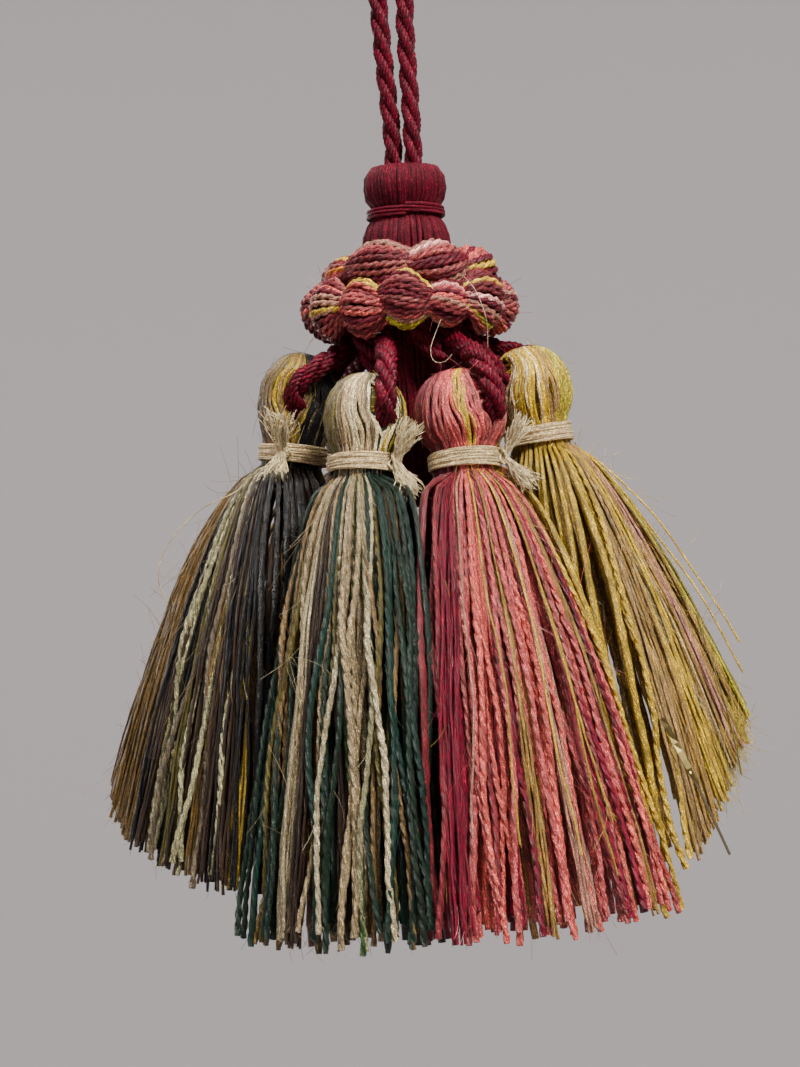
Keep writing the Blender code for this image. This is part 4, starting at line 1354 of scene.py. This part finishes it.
STRAY_SHADES = {3: ("pale pink", "gold", "rose"), 4: ("yellow", "cream", "gold")}
SKIRT_STRAYS = 520
BACK_SKIRT_STRAYS = 90
HEAD_STRAYS = 80
RUFF_STRAYS = 300
chance = random.Random(3)
for tassel in TASSELS:
    tints = STRAY_SHADES.get(tassel.number, ("tan", "beige"))
    count = SKIRT_STRAYS if tassel.number <= 4 else BACK_SKIRT_STRAYS
    fibres = stray_fibres(skirts[tassel.number], count, 1.5 * MM, 5 * MM, tints, chance)
    fibres += stray_fibres(heads[tassel.number], HEAD_STRAYS, 1 * MM, 3 * MM, tints, chance)
    piece = spin(f"stray_fibres_{tassel.number}", fibres, FIBRE_FINISH, FIBRE_SPIN)
    place_piece(piece)
fibres = stray_fibres(ruff_strands, RUFF_STRAYS, 0.8 * MM, 2.6 * MM,
                      ("pale pink", "cream"), chance)
place_piece(spin("stray_fibres_ruff", fibres, FIBRE_FINISH, FIBRE_SPIN))

# %% [markdown]
# ## Loose ends
#
# A pale thread hangs out of tassel 1 in a bow, and two fine ones lie below the ruff.  Tassel 4 has
# a dark strand and a tuft of fluff at its corner.

# %% Loose ends
# All places are in millimetres.
LOOSE_THREAD = ((-17.6, -9.0, -70.8), (-19.4, -9.0, -72.4), (-23.4, -8.0, -74.2),
                (-27.0, -8.0, -77.8), (-28.1, -8.0, -81.2), (-27.2, -8.0, -84.0))
RUFF_THREADS = (
    ((5.6, -12.6, -50.6), (6.9, -13.3, -52.4), (7.9, -13.2, -55.4), (8.0, -12.4, -58.2)),
    ((3.2, -10.6, -55.0), (2.6, -11.0, -56.4), (2.0, -11.2, -58.0), (2.2, -11.4, -59.4),
     (3.4, -11.6, -59.6), (4.2, -11.4, -58.8)),
)
DARK_STRAND = ((28.6, -13.5, -87.0), (30.6, -13.0, -93.8), (32.0, -12.5, -99.0),
               (32.9, -12.5, -104.2))
LOOSE_THREAD_RADIUS = 0.07 * MM
RUFF_THREAD_RADIUS = 0.026 * MM
DARK_STRAND_RADIUS = 0.1 * MM
FLUFF_RADIUS = 0.026 * MM
FLUFF_BRIGHTNESS = 1.4
# The middle of the fluff's lower and of its upper end.
FLUFF_ENDS = ((30.2, -13.0, -105.5), (33.8, -6.5, -99.0))
FLUFF_FIBRES = 420


def thread(knots, name, radius):
    """A loose thread through some knots in millimetres."""
    return Strand(smooth_route(np.array(knots) * MM, 0.4 * MM), shade(name), radius, 0.0)


pale = [thread(LOOSE_THREAD, "beige", LOOSE_THREAD_RADIUS)]
place_piece(spin("loose_thread", pale, FIBRE_FINISH, THREAD_SPIN))
fine = [thread(knots, "cream", RUFF_THREAD_RADIUS) for knots in RUFF_THREADS]
place_piece(spin("ruff_threads", fine, FIBRE_FINISH, THREAD_SPIN))
dark = [thread(DARK_STRAND, "olive", DARK_STRAND_RADIUS)]
place_piece(spin("dark_strand", dark, FIBRE_FINISH, THREAD_SPIN))


def fluff_fibres(ends, count, chance):
    """Curly fibres that make a soft cloud about a line."""
    low, high = (np.array(end) * MM for end in ends)
    down = np.array((0.25, 0.0, -1.0))
    fibres = []
    for _ in range(count):
        middle = low + (high - low) * chance.random()
        middle = middle + np.array([chance.gauss(0, 0.6) for _ in range(3)]) * MM
        way = down + np.array([chance.gauss(0, 0.45) for _ in range(3)])
        bend = np.array([chance.gauss(0, 1) for _ in range(3)])
        share = np.linspace(-0.5, 0.5, 6)[:, None]
        length = chance.uniform(1.4, 3.2) * MM
        line = middle + way * length * share + bend * length * 1.2 * share ** 2
        name = chance.choice(("chartreuse", "gold", "chartreuse", "yellow", "ochre"))
        fibres.append(Strand(line, shade(name) * FLUFF_BRIGHTNESS, FLUFF_RADIUS, 0.0))
    return fibres


fluff = fluff_fibres(FLUFF_ENDS, FLUFF_FIBRES, random.Random(19))
place_piece(spin("corner_fluff", fluff, FIBRE_FINISH, FIBRE_SPIN))

# %% [markdown]
# ## The foil
#
# A twisted strip of gold foil sticks out of the front of tassel 4.  It is flat and hard, so its
# faces stay unsmoothed, and only a short stretch of it glints.

# %% The foil
# The root and the tip of the strip, in millimetres.
FOIL_ENDS = ((23.4, -24.0, -96.9), (29.2, -26.5, -110.3))
FOIL_HALF_WIDTH = 0.3 * MM
FOIL_HALF_DEPTH = 0.05 * MM
FOIL_BEND = 0.35 * MM
FOIL_RINGS = 17
# The way that the foil faces, and how far it is twisted from there, in degrees, along its length.
FOIL_FACING = (0.21, -0.905, 0.346)
FOIL_TWIST_SHARES = (0, 0.22, 0.38, 0.48)
FOIL_TWISTS = (-55, 0, 0, 48)
FOIL_ROUGHNESS = (0.18, 0.4)


def foil_finish():
    """Gold metal whose gloss changes from spot to spot."""
    finish = bpy.data.materials.new("gold foil")
    finish.use_nodes = True
    nodes, links = finish.node_tree.nodes, finish.node_tree.links
    shader = nodes["Principled BSDF"]
    shader.inputs["Metallic"].default_value = 1.0
    shader.inputs["Base Color"].default_value = (0.2, 0.16, 0.06, 1)
    noise = nodes.new("ShaderNodeTexNoise")
    noise.inputs["Scale"].default_value = 900.0
    place = nodes.new("ShaderNodeTexCoord")
    ramp = nodes.new("ShaderNodeMapRange")
    ramp.inputs["To Min"].default_value, ramp.inputs["To Max"].default_value = FOIL_ROUGHNESS
    links.new(place.outputs["Object"], noise.inputs["Vector"])
    links.new(noise.outputs[0], ramp.inputs["Value"])
    links.new(ramp.outputs[0], shader.inputs["Roughness"])
    return finish


def foil_points():
    """The four corners of each cross-section of the foil, from its root to its tip."""
    start, stop = (np.array(end) * MM for end in FOIL_ENDS)
    run = (stop - start) / np.linalg.norm(stop - start)
    side = np.cross(run, FOIL_FACING)
    side = side / np.linalg.norm(side)
    face = np.cross(side, run)
    points = []
    for share in np.linspace(0, 1, FOIL_RINGS):
        middle = start + (stop - start) * share + face * FOIL_BEND * math.sin(math.pi * share)
        turn = math.radians(np.interp(share, FOIL_TWIST_SHARES, FOIL_TWISTS))
        wide = (side * math.cos(turn) + face * math.sin(turn)) * FOIL_HALF_WIDTH
        deep = (face * math.cos(turn) - side * math.sin(turn)) * FOIL_HALF_DEPTH
        points += [middle - wide - deep, middle + wide - deep,
                   middle + wide + deep, middle - wide + deep]
    return points


def foil_faces():
    """The faces of the foil: one at each end, and four between each two cross-sections."""
    last = 4 * (FOIL_RINGS - 1)
    faces = [(0, 3, 2, 1), tuple(range(last, last + 4))]
    for low in range(0, last, 4):
        high = low + 4
        for corner in range(4):
            following = (corner + 1) % 4
            faces.append((low + corner, low + following, high + following, high + corner))
    return faces


foil = plain_solid("foil_strip", foil_points(), foil_faces(), foil_finish(), shade("gold"))
for polygon in foil.data.polygons:
    polygon.use_smooth = False
place_piece(foil)
print("triangles in all:", sum(totals.values()), "largest piece:", max(totals.values()))

# %% [markdown]
# ## Camera, floor and light
#
# A camera level with the middle of the tassel, with a slight roll.  A pale floor runs up into a
# pale wall all round, well away from the tassel, so that it is plain from every side.

# %% Camera, floor and light
CAMERA_PLACE = (-2.0 * MM, -230 * MM, -77.5 * MM)
CAMERA_ROLL = math.radians(2.2)
CAMERA_LENS = 69.84
STAGE_COLOUR = (0.56, 0.535, 0.545, 1)
SKY_COLOUR = (0.9, 0.93, 1.0, 1)
SKY_STRENGTH = 0.28
LIGHT_AIM = (0, 0, -0.075)
# The stage's radius and height at each ring, in metres.  It is open at the top.
STAGE_RINGS = ((0.7, -0.62), (0.86, -0.58), (0.96, -0.48), (1.0, -0.34), (1.0, 0.9))
STAGE_SIDES = 64

camera_data = bpy.data.cameras.new("camera")
camera = bpy.data.objects.new("camera", camera_data)
bpy.context.scene.collection.objects.link(camera)
bpy.context.scene.camera = camera
camera.location = CAMERA_PLACE
camera.rotation_euler = (math.radians(90), CAMERA_ROLL, 0)
camera_data.sensor_fit = "AUTO"
camera_data.sensor_width = 36
camera_data.lens = CAMERA_LENS
camera_data.clip_start = 0.01
camera_data.clip_end = 10

stage_finish = bpy.data.materials.new("pale stage")
stage_finish.use_nodes = True
stage_shader = stage_finish.node_tree.nodes["Principled BSDF"]
stage_shader.inputs["Base Color"].default_value = STAGE_COLOUR
stage_shader.inputs["Roughness"].default_value = 0.9
stage_points = [(radius * math.cos(2 * math.pi * side / STAGE_SIDES),
                 radius * math.sin(2 * math.pi * side / STAGE_SIDES), z)
                for radius, z in STAGE_RINGS for side in range(STAGE_SIDES)]
stage_mesh = bpy.data.meshes.new("stage")
stage_mesh.from_pydata(stage_points, [], loft_faces(len(STAGE_RINGS), STAGE_SIDES)[:-1])
stage_mesh.materials.append(stage_finish)
stage_mesh.shade_smooth()
stage = bpy.data.objects.new("stage", stage_mesh)
bpy.context.scene.collection.objects.link(stage)

world = bpy.data.worlds.new("soft sky")
world.use_nodes = True
sky = world.node_tree.nodes["Background"]
sky.inputs["Color"].default_value = SKY_COLOUR
sky.inputs["Strength"].default_value = SKY_STRENGTH
bpy.context.scene.world = world


def soft_light(name, place, size, power, colour):
    """A square light that faces the middle of the tassel."""
    data = bpy.data.lights.new(name, "AREA")
    data.size = size
    data.energy = power
    data.color = colour
    light = bpy.data.objects.new(name, data)
    light.location = place
    aim = np.array(LIGHT_AIM) - np.array(place)
    yaw = math.atan2(aim[1], aim[0]) - math.pi / 2
    pitch = math.atan2(aim[2], math.hypot(aim[0], aim[1])) + math.pi / 2
    light.rotation_euler = (pitch, 0, yaw)
    bpy.context.scene.collection.objects.link(light)


# Each light: its place and size in metres, its power in watts and its colour.
soft_light("key", (0.3, -0.4, 0.4), 0.16, 8.5, (1.0, 0.96, 0.9))
soft_light("fill", (-0.5, -0.4, 0.1), 0.5, 0.7, (0.95, 0.96, 1.0))
soft_light("top", (-0.06, -0.12, 0.5), 0.16, 4.5, (1.0, 0.97, 0.93))
soft_light("back", (-0.3, 0.5, 0.1), 0.5, 1.6, (1.0, 1.0, 1.0))
